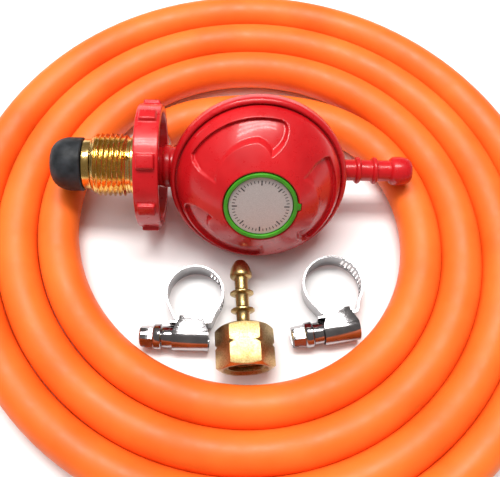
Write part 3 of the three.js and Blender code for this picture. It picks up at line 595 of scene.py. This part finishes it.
def hose_ring(centre, along, radius):
    """A ring of points round the hose's middle, square to its direction."""
    across = Vector((-along.y, along.x, 0))
    ring = []
    for k in range(HOSE_SIDES):
        angle = TAU * k / HOSE_SIDES
        rise = Vector((0, 0, radius * math.sin(angle)))
        ring.append(centre + across * radius * math.cos(angle) + rise)
    return ring


def swept(line, radius):
    """Rings of points round a flat line, one for each point of it."""
    rings = []
    for i, point in enumerate(line):
        along = (line[min(i + 1, len(line) - 1)] - line[max(i - 1, 0)]).normalized()
        rings.append(hose_ring(point, along, radius))
    return rings


def hose_mesh(line):
    """One closed tube with its bore: the outside, the outer end, the inside and the inner end."""
    first = (line[1] - line[0]).normalized()
    last = (line[-1] - line[-2]).normalized()
    outside = swept(line[1:-1], HOSE["diameter"] / 2)
    inside = swept(line[1:-1], HOSE["bore"] / 2)
    front = [hose_ring(line[0] + first * back, first, radius) for radius, back in hose_section()]
    rear = [hose_ring(line[-1] - last * back, last, radius) for radius, back in hose_section()]
    rings = outside + rear + inside[::-1] + front[::-1]
    points = [point * MM for ring in rings for point in ring]
    end_starts = (len(outside), len(outside) + len(rear) + len(inside))
    braid_rings = {start + row for start in end_starts for row in BRAID_ROWS}
    marks = [int(ring in braid_rings) for ring in range(len(rings)) for _ in range(HOSE_SIDES)]
    mesh = bpy.data.meshes.new("gas_hose")
    mesh.from_pydata(points, [], ring_faces(len(rings), HOSE_SIDES))
    mesh.materials.append(ORANGE)
    mesh.materials.append(BRAID)
    mesh.polygons.foreach_set("material_index", marks)
    return mesh


def hose_piece():
    line = coil_line()
    middle = coil_middle(line)
    hose = add_object("gas_hose", hose_mesh(line))
    hose.matrix_world = Matrix.Translation(middle)
    clean(hose)
    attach(hose, "hose")
    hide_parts("hose_coil")
    return middle


# ---- Regulator


def finish_piece(piece, body, slot, *replaced):
    """Puts the piece's place into its mesh, so its box is exact, and hangs it on its body."""
    piece.data.transform(piece.matrix_world)
    piece.matrix_world = Matrix.Identity(4)
    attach(piece, body)
    if replaced:
        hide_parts(*replaced)


def crescent_outline(turn):
    """One crescent of the pinwheel on the dome, in the dome's own plane."""
    steps = 14

    def at(radius, angle):
        angle = math.radians(angle) + turn
        return Vector((radius * math.cos(angle), radius * math.sin(angle)))

    outer = COVER["radius"] - COVER["crescent_rim"]
    inner = outer - COVER["crescent_width"]
    points = [at(outer, 150 - 70 * i / steps) for i in range(steps + 1)]
    bends = [
        (at(outer, 80), at(outer + 0.6, 71), at(outer - 3, 71)),
        (at(outer - 3, 71), at(inner, 70), at(inner - 3.6, 80)),
        (at(inner - 3.6, 80), at(inner - 1, 84), at(inner, 94)),
    ]
    for start, bend, end in bends:
        for i in range(1, 6):
            share = i / 5
            points.append(start.lerp(bend, share).lerp(bend.lerp(end, share), share))
    for i in range(1, steps + 1):
        share = i / steps
        points.append(at(inner - 4.2 * share * share, 94 + 60 * share))
    points += [at(outer - 4.2, 155.5), at(outer - 1.2, 153)]
    return points


def dome_height(radius):
    """The dome's plain skin at a distance from its axis."""
    shoulder = BODY["rim_top"] + 0.4
    spread, roundness = 1.45, 0.83
    share = (COVER["radius"] - radius) / (COVER["radius"] - COVER["cap_hole"] - COVER["hole_edge"])
    share = min(max(share, 0), 1) ** (1 / spread)
    return shoulder + (COVER["height"] - shoulder) * share ** roundness


def crescent_depths(plane):
    """How deep each point of the dome is sunk into a crescent; the floor rises inwards at its tail."""
    depth = np.zeros(len(plane))
    wall = COVER["crescent_wall"]
    tail_start, tail_length, tail_rise = 88, 45, 0.8
    floor_rim, floor_width = 3.4, 6.5
    for i in range(COVER["crescents"]):
        turn = i * TAU / COVER["crescents"]
        away = polygon_distance(plane, crescent_outline(turn))
        share = np.clip(0.5 - away / (2 * wall), 0, 1)
        tail = np.degrees((np.arctan2(plane[:, 1], plane[:, 0]) - turn) % TAU)
        inwards = COVER["radius"] - floor_rim - np.linalg.norm(plane, axis=1)
        inwards = np.clip(inwards / floor_width, 0, 1)
        fade = 1 - tail_rise * np.clip((tail - tail_start) / tail_length, 0, 1) * inwards
        sunk = COVER["crescent_depth"] * share * share * (3 - 2 * share) * fade
        depth = np.maximum(depth, sunk)
    return depth


def cover_inside():
    """Rows of the cover from the cap's hole down its inside and back to its skirt."""
    hole, high = COVER["cap_hole"], COVER["height"]
    floor = high - COVER["recess"]
    skirt, bore, socket = 11.4, 9.8, 12.2
    rows = [(hole + COVER["hole_edge"] - 0.35, high - 0.12), (hole, high - 0.5), (hole, floor)]
    rows += [(bore, floor), (bore, floor - 7), (socket, floor - 7.5)]
    rows += [(radius - 2.6, dome_height(radius) - COVER["skin"]) for radius in (17.5, 21, 25, 28)]
    rows += [(26, skirt - 1), (30.2, skirt - 1), (30.2, skirt), (COVER["radius"], skirt)]
    return rows


def dome_cover():
    rings, sides = 92, 480
    outer, inner = COVER["radius"], COVER["cap_hole"] + COVER["hole_edge"]
    radii = np.array([outer + (inner - outer) * (i / rings) for i in range(rings + 1)])
    angles = np.arange(sides) * TAU / sides
    across, up = np.outer(radii, np.cos(angles)), np.outer(radii, np.sin(angles))
    plane = np.stack([across, up], axis=-1).reshape(-1, 2)
    heights = np.repeat([dome_height(radius) for radius in radii], sides) - crescent_depths(plane)
    points = [(x, y, z) for (x, y), z in zip(plane, heights)]
    rows = cover_inside()
    points += [tuple(point) for point in turned(rows, sides)[0]]
    faces = ring_faces(rings + 1 + len(rows), sides)
    cover = make("dome_cover", points, faces, RED, REGULATOR, crease=50)
    tab = CAP["tab_width"] / 2 + GAP
    reach = CAP["radius"] + CAP["tab_length"] + GAP
    floor = COVER["height"] - COVER["recess"] + 0.05
    notch = box("notch", (CAP["radius"] - 1, -tab, floor), (reach, tab, COVER["height"] + 1), REGULATOR)
    combine(cover, notch, crease=50)
    finish_piece(cover, "regulator", "red", "upper_cover")


def bowl_outline():
    rim, top, lip = BODY["rim"], BODY["rim_top"], BODY["lip"]
    bottom, foot, ledge = BODY["bottom"], BODY["bottom_radius"], BODY["ledge"]
    lip_low, floor = 11.7, -10.2
    return [
        (0, bottom), (foot, bottom), (foot + 2.9, bottom + 1.5), (BODY["waist"], -0.4),
        (rim - 1.8, BODY["rim_low"] - 2.2), (rim, BODY["rim_low"]), (rim, top - 0.9), (rim - 0.9, top),
        (lip + 0.35, top), (lip, top - 0.5), (lip, lip_low), (30.7, lip_low), (30.7, ledge), (27, ledge),
        (27, ledge - 1.2), (BODY["waist"] - BODY["wall"], 0), (foot + 1, floor), (0, floor),
    ]


def barb_outline():
    """The outlet tail: a plain shank with two round beads and a ball end."""
    radius, rib, ball, bore = BARB["radius"], BARB["rib"], BARB["ball"], BARB["bore"]
    boss, boss_end, end = BARB["boss"], BARB["boss_end"], BARB["end"]
    bead, steps = 1.05, 6
    points = [(boss, BARB["start"]), (boss, boss_end), (boss - 0.8, boss_end + 1.2), (radius, boss_end + 1.8)]
    for at in BARB["ribs"]:
        for i in range(steps + 1):
            angle = math.pi * i / steps
            points.append((radius + (rib - radius) * math.sin(angle), at - bead * math.cos(angle)))
    length = end - BARB["ball_start"]
    shares = [
        (0.0, 0.0), (0.06, 0.55), (0.16, 0.88), (0.32, 1.0), (0.5, 1.0), (0.66, 0.93), (0.8, 0.76),
        (0.92, 0.45), (0.98, 0.1),
    ]
    for along, wide in shares:
        low = radius if along < 0.3 else BARB["face"]
        points.append((low + (ball - low) * wide, BARB["ball_start"] + along * length))
    points += [(BARB["face"] - 0.3, end), (bore + 0.3, end), (bore, end - 0.3), (bore, BARB["start"])]
    return points


def neck_outline():
    end, neck = BODY["neck_end"], BODY["neck"]
    return [
        (5.9, end), (neck - 0.6, end), (neck, end + 0.6), (neck, end + 3.5), (neck + 0.6, end + 4.1),
        (neck + 0.6, end + 5.9), (neck, end + 6.5), (neck, -23.2), (5.9, -23.2),
    ]


def lower_casting():
    bowl = lathe("lower_casting", bowl_outline(), RED, REGULATOR, sides=128, cut=0.8)
    barb = lathe("barb", barb_outline(), RED, REGULATOR, about="X", sides=64, closed=True)
    neck = lathe("neck", neck_outline(), RED, REGULATOR, about="X", sides=64, cut=0.3, closed=True)
    combine(bowl, barb, neck, operation="UNION")
    finish_piece(bowl, "regulator", "red", "lower_body")


def label_pieces():
    floor = COVER["height"] - COVER["recess"] + GAP
    high = COVER["height"] + CAP["proud"]
    radius, ring = CAP["radius"], CAP["radius"] - CAP["rim"]
    outline = [(0, floor), (radius, floor), (radius, high), (ring, high), (ring, floor + 1), (0, floor + 1)]
    cup = lathe("green_cap", outline, GREEN, REGULATOR, sides=128, cut=0.25)
    half = CAP["tab_width"] / 2
    tab = box("tab", (radius - 0.8, -half, floor), (radius + CAP["tab_length"], half, high - 0.4), REGULATOR)
    bevelled(tab, 0.25)
    tab.data.materials.append(GREEN)
    combine(cup, tab, operation="UNION")
    finish_piece(cup, "cap", "green", "label_cap")
    low = floor + 1 + GAP
    top = low + 0.4
    plate = [(0, low), (ring - GAP, low), (ring - GAP, top), (0, top)]
    disc = lathe("label_plate", plate, FOIL, REGULATOR, sides=128, cut=0.1)
    finish_piece(disc, "cap", "label", "label_disc")
    marks_points, marks_faces = [], []
    count, long_every = 48, 6
    for i in range(count):
        angle = TAU * i / count
        long_mark = i % long_every == 0
        start, end = (7.9 if long_mark else 8.7), 9.7
        width = 0.22 if long_mark else 0.14
        along = Vector((math.cos(angle), math.sin(angle), 0))
        across = Vector((-along.y, along.x, 0))
        a = len(marks_points)
        for height in (top - 0.02, top + 0.03):
            for reach, side in ((start, -1), (end, -1), (end, 1), (start, 1)):
                marks_points.append(along * reach + across * side * width + Vector((0, 0, height)))
        marks_faces += [[a, a + 1, a + 2, a + 3], [a + 4, a + 5, a + 6, a + 7]]
        marks_faces += [[a + k, a + (k + 1) % 4, a + 4 + (k + 1) % 4, a + 4 + k] for k in range(4)]
    marks = make("label_graduations", marks_points, marks_faces, INK, REGULATOR)
    finish_piece(marks, "cap", "label")


def pressure_spring():
    """The CAD spring's own shape, on the regulator."""
    piece = add_object("pressure_spring", nodes["main_spring"].data.copy())
    piece.data.materials.clear()
    piece.data.materials.append(PLATED)
    clean(piece)
    finish_piece(piece, "regulator", "clip_steel", "main_spring")
    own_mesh(piece)


# ---- Inlet


def pol_nut():
    front, back, bore = NUT["front"], NUT["back"], NUT["bore"]
    root, collar = NUT["root"], NUT["collar"]
    thread_start = front + 0.5
    thread_end = thread_start + NUT["thread"]
    shank = WHEEL["front"] - GAP
    flats = hexagon(NUT["flats"])
    rows = [(bore, front + 0.3), (bore + 0.3, front), (root - 0.4, front), (root, front + 0.4)]
    rows += thread_rows(
        root, NUT["crest"], NUT["pitch"], thread_start, thread_end, hand=-1, steps_per_turn=12,
    )
    rows += [(root - 0.3, thread_end + 0.2), (root - 0.3, thread_end + 0.9), (collar - 0.4, thread_end + 1.1)]
    rows += [(collar, thread_end + 1.5), (collar, shank - 0.2), (collar - 0.2, shank)]
    rows += [(flats, shank), (flats, back - 0.4), (lambda a: flats(a) - 0.4, back), (bore, back)]
    nut = make("bottle_nut", *turned(rows, 144, "X", closed=True), BRASS, REGULATOR, crease=40)
    drill, inner, outer = NUT["weep"], bore + 1, collar + 2
    weep = lathe("weep", [(0, inner), (drill, inner), (drill, outer), (0, outer)], None, REGULATOR, sides=24)
    place = Matrix.Translation((NUT["weep_at"] * MM, 0, 0))
    weep.matrix_world = REGULATOR @ place @ Matrix.Rotation(-math.radians(NUT["weep_turn"]), 4, "X")
    combine(nut, weep, crease=40)
    finish_piece(nut, "hand_nut", "brass", "pol_nut")


def handwheel():
    """A dish, hollow on the side of the body, with eight square lugs pulled out of its rim."""
    front, width = WHEEL["front"], WHEEL["width"]
    back = front + width
    radius = WHEEL["radius"]
    lug_start = front + (width - WHEEL["lug_length"]) / 2
    lug_half = math.asin(WHEEL["lug_width"] / 2 / radius)
    step = TAU / WHEEL["lugs"]
    turn = math.pi / 2 - math.radians(WHEEL["turn"])
    angles = []
    for i in range(WHEEL["lugs"]):
        middle = turn + i * step
        angles += [middle + lug_half * share for share in (-1, -0.5, 0, 0.5, 1)]
        angles += [middle + lug_half + (step - 2 * lug_half) * share / 7 for share in range(1, 7)]
    socket = hexagon(NUT["flats"] + 2 * GAP)
    floor = front + 2.5
    rows = [
        (socket, front), (radius - 4, front), (radius, front), (radius, lug_start),
        (radius, lug_start + WHEEL["lug_length"]), (radius, back), (radius - 2.8, back),
        (radius - 3.2, floor), (13.2, floor), (12.5, NUT["back"]), (socket, NUT["back"]),
    ]
    points, faces = turned(rows, about="X", closed=True, angles=angles)
    wheel = make("hand_wheel", points, faces, RED, REGULATOR)
    work = bmesh.new()
    work.from_mesh(wheel.data)
    work.faces.ensure_lookup_table()
    for i in range(WHEEL["lugs"]):
        middle = turn + i * step
        outwards = Vector((0, math.cos(middle), math.sin(middle)))
        chosen = [face for face in work.faces if on_lug(face, outwards, lug_start, radius, lug_half)]
        made = bmesh.ops.extrude_face_region(work, geom=chosen)
        moved = [item for item in made["geom"] if isinstance(item, bmesh.types.BMVert)]
        bmesh.ops.translate(work, verts=moved, vec=outwards * (WHEEL["lug"] - radius) * MM)
        bmesh.ops.delete(work, geom=chosen, context="FACES")
    work.to_mesh(wheel.data)
    work.free()
    clean(wheel)
    bevelled(wheel, 0.55, segments=3, angle=35, crease=40)
    finish_piece(wheel, "hand_nut", "red", "handwheel")


def on_lug(face, outwards, lug_start, radius, lug_half):
    centre = face.calc_center_median() / MM
    if not lug_start < centre.x < lug_start + WHEEL["lug_length"]:
        return False
    across = Vector((0, centre.y, centre.z))
    return across.length > radius - 0.5 and across.angle(outwards) < lug_half


def spindle_and_nose():
    collar_back = NUT["front"] - GAP
    collar_front = collar_back - SPINDLE["width"]
    bore = SPINDLE["bore"]
    shaft, stub, end = SPINDLE["radius"], SPINDLE["stub"], SPINDLE["end"]
    stub_end = collar_front - SPINDLE["stub_length"]
    pocket, pocket_end = bore + SPINDLE["pocket"], stub_end + SPINDLE["pocket_depth"]
    outline = [
        (pocket, stub_end), (stub, stub_end), (stub, collar_front), (SPINDLE["collar"], collar_front),
        (SPINDLE["collar"], collar_back), (shaft, collar_back), (shaft, end), (bore, end),
        (bore, pocket_end), (pocket, pocket_end),
    ]
    spindle = lathe("gas_spindle", outline, BRASS, REGULATOR, about="X", cut=0.3, closed=True)
    finish_piece(spindle, "regulator", "brass", "inlet_spindle")
    back = collar_front - GAP
    tip = back - SPINDLE["nose"]
    radius = SPINDLE["nose_radius"]
    inner_end, length, bulge = back - 6.8, 0.62 * SPINDLE["nose"], 0.85
    points = [(bore, inner_end), (bore, tip + 0.4), (bore + 0.4, tip + 0.05), (bore + 0.9, tip)]
    steps = 20
    for i in range(1, steps + 1):
        angle = math.pi / 2 * i / steps
        reach = bore + 1 + (radius - bore - 1) * math.sin(angle) ** bulge
        points.append((reach, tip + length * (1 - math.cos(angle))))
    points += [(radius, back - 0.4), (radius - 0.3, back), (5.3, back), (5.3, inner_end)]
    nose = lathe("soft_nose", points, RUBBER, REGULATOR, about="X", closed=True)
    finish_piece(nose, "regulator", "seal_rubber", "nose_seal")


# ---- Hose clips


def band_line(ring):
    """Middle line of the band: along the saddle, round the ring, and back through the housing."""
    radius = ring / 2 - CLIP["thick"] / 2
    layer = CLIP["thick"] + GAP + 0.1
    saddle, low = CLIP["saddle"], -radius
    start = [
        (saddle - 0.4, low), (0, low), (-saddle - 0.3, low), (-saddle - 0.9, low + 0.5),
        (-saddle - 2, low + 2.6),
    ]
    steps = 72
    angles = [math.radians(212 - 244 * i / steps) for i in range(steps + 1)]
    ring_points = [(radius * math.cos(angle), radius * math.sin(angle)) for angle in angles]
    end = [
        (saddle + 2, low + 2.6), (saddle + 1.2, low + 0.3), (saddle + 0.6, low - layer + 0.2),
        (saddle - 0.2, low - layer), (0, low - layer), (CLIP["left"] - 1.2, low - layer),
    ]
    return [Vector(point) for point in (*start, *ring_points, *end)]


def strip_outline(line, thickness):
    left, right = [], []
    for i, point in enumerate(line):
        along = (line[min(i + 1, len(line) - 1)] - line[max(i - 1, 0)]).normalized()
        across = Vector((-along.y, along.x)) * thickness / 2
        left.append(point + across)
        right.append(point - across)
    return left + right[::-1]


def clip_band(name, ring, matrix):
    lift, high = CLIP["lift"], CLIP["lift"] + CLIP["band"]
    outline = strip_outline(band_line(ring), CLIP["thick"])
    band = prism(name + "_band_strip", outline, lift, high, STEEL, matrix)
    count, first, step, slant = 11, -28, 8.4, 8
    half_width, half_length = 0.45, 2.3
    middle = matrix @ Matrix.Translation((0, 0, (lift + CLIP["band"] / 2) * MM))
    slots = []
    for i in range(count):
        low_corner = (ring / 2 - 2, -half_width, -half_length)
        slot = box("slot", low_corner, (ring / 2 + 2, half_width, half_length), matrix)
        spin = Matrix.Rotation(math.radians(first + step * i), 4, "Z")
        slot.matrix_world = middle @ (spin @ Matrix.Rotation(math.radians(slant), 4, "X"))
        slots.append(slot)
    combine(band, *slots)
    finish_piece(band, name, "clip_steel", name + "_band")


def housing_outline(radius, flat):
    """A closed D: round below the screw, flat against the ring."""
    steps = 20
    arc = [math.pi / 2 + math.pi * i / steps for i in range(steps + 1)]
    return [(flat, radius), *((radius * math.cos(a), radius * math.sin(a)) for a in arc), (flat, -radius)]


def clip_housing(name, ring, matrix):
    """Folded from sheet: the screw's barrel, its saddle inside the ring, and a neck for the collar."""
    axis = ring / 2 + CLIP["drop"]
    radius, wall = CLIP["lift"] + CLIP["band"] / 2, CLIP["wall"]
    left, right = CLIP["left"], CLIP["right"]
    top = axis - (ring / 2 - CLIP["thick"]) + GAP + wall
    outer, inner = (
        [(across - axis, up + radius) for across, up in housing_outline(radius - inset, top - inset)]
        for inset in (0, wall)
    )
    shell = prism(name + "_barrel", outer, left, right, STEEL, matrix, along="X")
    hollow = prism("hollow", inner, left - 1, right + 1, None, matrix, along="X")
    room = axis - ring / 2 - CLIP["thick"] - 2 * GAP
    over = 2 * radius + 1
    mouth = box("mouth", (left - 1, room - axis, -1), (-CLIP["saddle"], top - axis + 1, over), matrix)
    tapers = [housing_taper(side, axis, top, over, matrix) for side in (-1, 1)]
    combine(shell, hollow, mouth, *tapers)
    start, end, bore, outside = left - 3.7, left + 0.2, 2.9, 3.9
    neck_rows = [(bore, start), (outside, start), (outside, end), (bore, end)]
    centre = matrix @ Matrix.Translation((0, -axis * MM, radius * MM))
    neck = lathe("neck", neck_rows, STEEL, centre, about="X", sides=48, closed=True)
    combine(shell, neck, operation="UNION")
    bevelled(shell, 0.16, angle=50)
    finish_piece(shell, name, "clip_steel", name + "_housing")


def housing_taper(side, axis, top, height, matrix):
    """The corner that is cut off the housing's side walls, so that they narrow towards the ring."""
    wide = CLIP["left"] if side < 0 else CLIP["right"]
    narrow = CLIP["tab_left"] if side < 0 else CLIP["tab_right"]
    start, end, over = 0.8 - axis, top - axis - CLIP["wall"] - 0.2, top - axis + 1
    outline = [
        (wide + side * 0.01, start), (narrow, end), (narrow, over), (wide + side, over), (wide + side, start),
    ]
    return prism("taper", rounded(outline, 0.6, closed=True), -1, height, None, matrix)


def clip_screw(name, ring, matrix):
    axis = ring / 2 + CLIP["drop"]
    radius = CLIP["lift"] + CLIP["band"] / 2
    centre = matrix @ Matrix.Translation((0, -axis * MM, radius * MM))
    neck_left = CLIP["left"] - 4.0
    collar_left = neck_left - 2.8
    head_left = collar_left - 5.0
    worm_left = CLIP["left"] + 0.8
    worm_right, collar, shank = CLIP["right"] - 0.5, 4.6, 2.6
    rows = [
        (0, collar_left - 0.2), (collar - 0.7, collar_left - 0.2), (collar - 0.35, collar_left),
        (collar, collar_left + 0.5), (collar, neck_left - 0.3), (collar - 0.25, neck_left),
        (shank, neck_left), (shank, worm_left),
    ]
    rows += thread_rows(root=3.1, crest=4.0, pitch=1.9, start=worm_left, end=worm_right, hand=1)
    rows += [(0, worm_right)]
    screw = make(name + "_worm_screw", *turned(rows, 64, "X"), STEEL, centre)
    corner = hexagon(7.0)
    head_rows = [
        (0, head_left), (2.9, head_left), (lambda a: corner(a) - 0.25, head_left + 0.25),
        (corner, head_left + 0.6), (corner, collar_left), (0, collar_left),
    ]
    head = make("head", *turned(head_rows, 72, "X"), STEEL, centre)
    slot = box("slot", (head_left - 1, -6, -0.6), (head_left + 2, 6, 0.6), centre)
    combine(head, slot)
    bevelled(head, 0.12, angle=45)
    combine(screw, head, operation="UNION")
    finish_piece(screw, name + "_drive", "clip_steel", name + "_screw")


# ---- Nozzle


def nozzle_nut(matrix):
    flats, length = NOZZLE["flats"], NOZZLE["hexagon"]
    corner = flats / math.sqrt(3)
    hex_rows = [(0, 0), (hexagon(flats), 0), (hexagon(flats), length), (0, length)]
    nut = make("nozzle_body", *turned(hex_rows, 6, "X"), BRASS_FLATS, matrix)
    crown_outline = [
        (0, -0.01), (flats / 2 - 0.3, -0.01), (corner + 0.02, 0.9), (corner + 0.02, length - 1.3),
        (flats / 2 - 1, length + 0.01), (0, length + 0.01),
    ]
    combine(nut, lathe("crown", crown_outline, None, matrix, about="X"), operation="INTERSECT")
    at, notch = NOZZLE["notch_at"], NOZZLE["notch"]
    groove = [(corner - notch, at), (corner + 1, at - notch - 1), (corner + 1, at + notch + 1)]
    combine(nut, lathe("groove", groove, None, matrix, about="X", closed=True))
    bevelled(nut, 0.16, angle=25)
    tail = lathe("tail", nozzle_tail(), NOZZLE_BRASS, matrix, about="X", sides=72)
    combine(nut, tail, operation="UNION")
    bore, depth, end = NOZZLE["bore"], NOZZLE["depth"], NOZZLE["length"] + 1
    root, crest = NOZZLE["socket"] - NOZZLE["thread"], NOZZLE["socket"] + 0.1
    rows = [(0, -1), (NOZZLE["mouth"] + 1, -1), (crest, NOZZLE["mouth"] - NOZZLE["socket"])]
    rows += thread_rows(root, crest, NOZZLE["thread_pitch"], 0.95, depth, hand=-1, fade=0.3)
    rows += [(root, depth), (bore, depth + 2), (bore, end), (0, end)]
    hole = make("hole", *turned(rows, 72, "X"), NOZZLE_BRASS, matrix)
    combine(nut, hole)
    finish_piece(nut, "nozzle", "brass", "hose_nozzle")


def nozzle_tail():
    """Rows of the hose tail; each shape is (place along the tail, share of the full radius)."""
    tail, rib, bulb = NOZZLE["tail"], NOZZLE["rib"], NOZZLE["bulb"]
    start = NOZZLE["hexagon"] - 0.5
    points = [
        (0, start), (tail + 1.2, start), (tail + 1.0, start + 0.9), (tail + 0.3, start + 1.5),
        (tail, start + 2.4),
    ]
    rib_shape = [
        (-1.5, 0), (-0.9, 0.15), (-0.65, 0.75), (-0.4, 1), (0.1, 1), (0.4, 0.75), (0.7, 0.2), (1.2, 0),
    ]
    for at in NOZZLE["ribs"]:
        points += [(tail + (rib - tail) * wide, at + along) for along, wide in rib_shape]
    length = NOZZLE["length"] - NOZZLE["bulb_start"]
    bulb_shape = [
        (-0.12, 0.6), (0.0, 0.64), (0.03, 0.85), (0.08, 0.96), (0.16, 1), (0.28, 0.99), (0.42, 0.94),
        (0.56, 0.87), (0.7, 0.77), (0.82, 0.66), (0.92, 0.54), (0.98, 0.46),
    ]
    points += [(bulb * wide, NOZZLE["bulb_start"] + along * length) for along, wide in bulb_shape]
    points += [(NOZZLE["bore"] + 0.25, NOZZLE["length"]), (0, NOZZLE["length"])]
    return points


# ---- Stage


def floor_and_backdrop():
    shade = Shade("pale_floor", (0.9, 0.89, 0.89), 0.7)
    shade.tint(shade.noise(3), (0.88, 0.87, 0.875), (0.92, 0.91, 0.91))
    fade_to_white(shade)
    size, height = 3000.0, -0.05
    corners = [(-size, -size, height), (size, -size, height), (size, size, height), (-size, size, height)]
    floor = make("floor", corners, [[0, 1, 2, 3]], shade.material)


def fade_to_white(shade):
    """The floor far from the part is plain white to the camera, so it has no horizon."""
    nodes_of, links = shade.nodes, shade.links
    distance = nodes_of.new("ShaderNodeVectorMath")
    distance.operation = "LENGTH"
    links.new(shade.place, distance.inputs[0])
    far = shade.spread(distance.outputs["Value"], 0, 1, FLOOR_PLAIN * MM, FLOOR_WHITE * MM)
    seen = nodes_of.new("ShaderNodeMath")
    seen.operation = "MULTIPLY"
    links.new(far, seen.inputs[0])
    links.new(nodes_of.new("ShaderNodeLightPath").outputs["Is Camera Ray"], seen.inputs[1])
    white = nodes_of.new("ShaderNodeEmission")
    white.inputs["Color"].default_value = (1, 1, 1, 1)
    mix = nodes_of.new("ShaderNodeMixShader")
    links.new(seen.outputs["Value"], mix.inputs["Fac"])
    links.new(shade.shader.outputs["BSDF"], mix.inputs[1])
    links.new(white.outputs["Emission"], mix.inputs[2])
    links.new(mix.outputs["Shader"], nodes_of["Material Output"].inputs["Surface"])


def area_light(name, place, aim, width, height, power, color=(1, 1, 1)):
    data = bpy.data.lights.new(name, "AREA")
    data.shape, data.size, data.size_y, data.energy, data.color = "RECTANGLE", width, height, power, color
    light = add_object(name, data)
    light.location = place
    light.rotation_euler = (Vector(aim) - Vector(place)).to_track_quat("-Z", "Y").to_euler()
    return light


def studio():
    """Three tube lamps overhead, a broad soft fill that metal doesn't mirror, and a dim warm room."""
    for offset in (-0.07, 0.0, 0.07):
        area_light("tube", (0.0, 0.2 + offset, 0.8), (0, 0.02, 0), 0.6, 0.035, 2.0, (1, 0.98, 0.95))
    fill = area_light("fill", (-0.3, 0.25, 1.0), (0, 0, 0), 1.2, 1.2, 11.0)
    fill.visible_glossy = False
    world = bpy.data.worlds.new("studio")
    world.use_nodes = True
    background = world.node_tree.nodes["Background"]
    background.inputs["Color"].default_value = (0.62, 0.56, 0.53, 1)
    background.inputs["Strength"].default_value = 0.33
    nodes_of, links = world.node_tree.nodes, world.node_tree.links
    backdrop = nodes_of.new("ShaderNodeBackground")
    backdrop.inputs["Color"].default_value = (1, 1, 1, 1)
    mix = nodes_of.new("ShaderNodeMixShader")
    links.new(nodes_of.new("ShaderNodeLightPath").outputs["Is Camera Ray"], mix.inputs["Fac"])
    links.new(background.outputs["Background"], mix.inputs[1])
    links.new(backdrop.outputs["Background"], mix.inputs[2])
    links.new(mix.outputs["Shader"], nodes_of["World Output"].inputs["Surface"])
    bpy.context.scene.world = world
    bpy.context.scene.view_settings.view_transform = "Standard"


# ---- Build


def keep_inner_nodes():
    """Inner pieces keep their CAD shape and get a finish with detail."""
    finishes = (
        (RUBBER, ("diaphragm", "valve_pad", "spindle_oring")),
        (BRASS, ("diaphragm_stem", "adjuster_plug", "valve_seat", "valve_plunger")),
        (PLATED, ("diaphragm_plate", "stem_retainer", "lever", "lever_pin", "inlet_filter")),
    )
    for material, names in finishes:
        for name in names:
            nodes[name].data.materials.clear()
            nodes[name].data.materials.append(material)


coil_centre = hose_piece()
add_camera(coil_centre)
dome_cover()
lower_casting()
label_pieces()
pressure_spring()
pol_nut()
handwheel()
spindle_and_nose()
for clip_name, clip_ring in CLIP_RINGS.items():
    clip_matrix = clip_frame(clip_name)
    clip_band(clip_name, clip_ring, clip_matrix)
    clip_housing(clip_name, clip_ring, clip_matrix)
    clip_screw(clip_name, clip_ring, clip_matrix)
nozzle_nut(nozzle_frame())
keep_inner_nodes()
floor_and_backdrop()
studio()
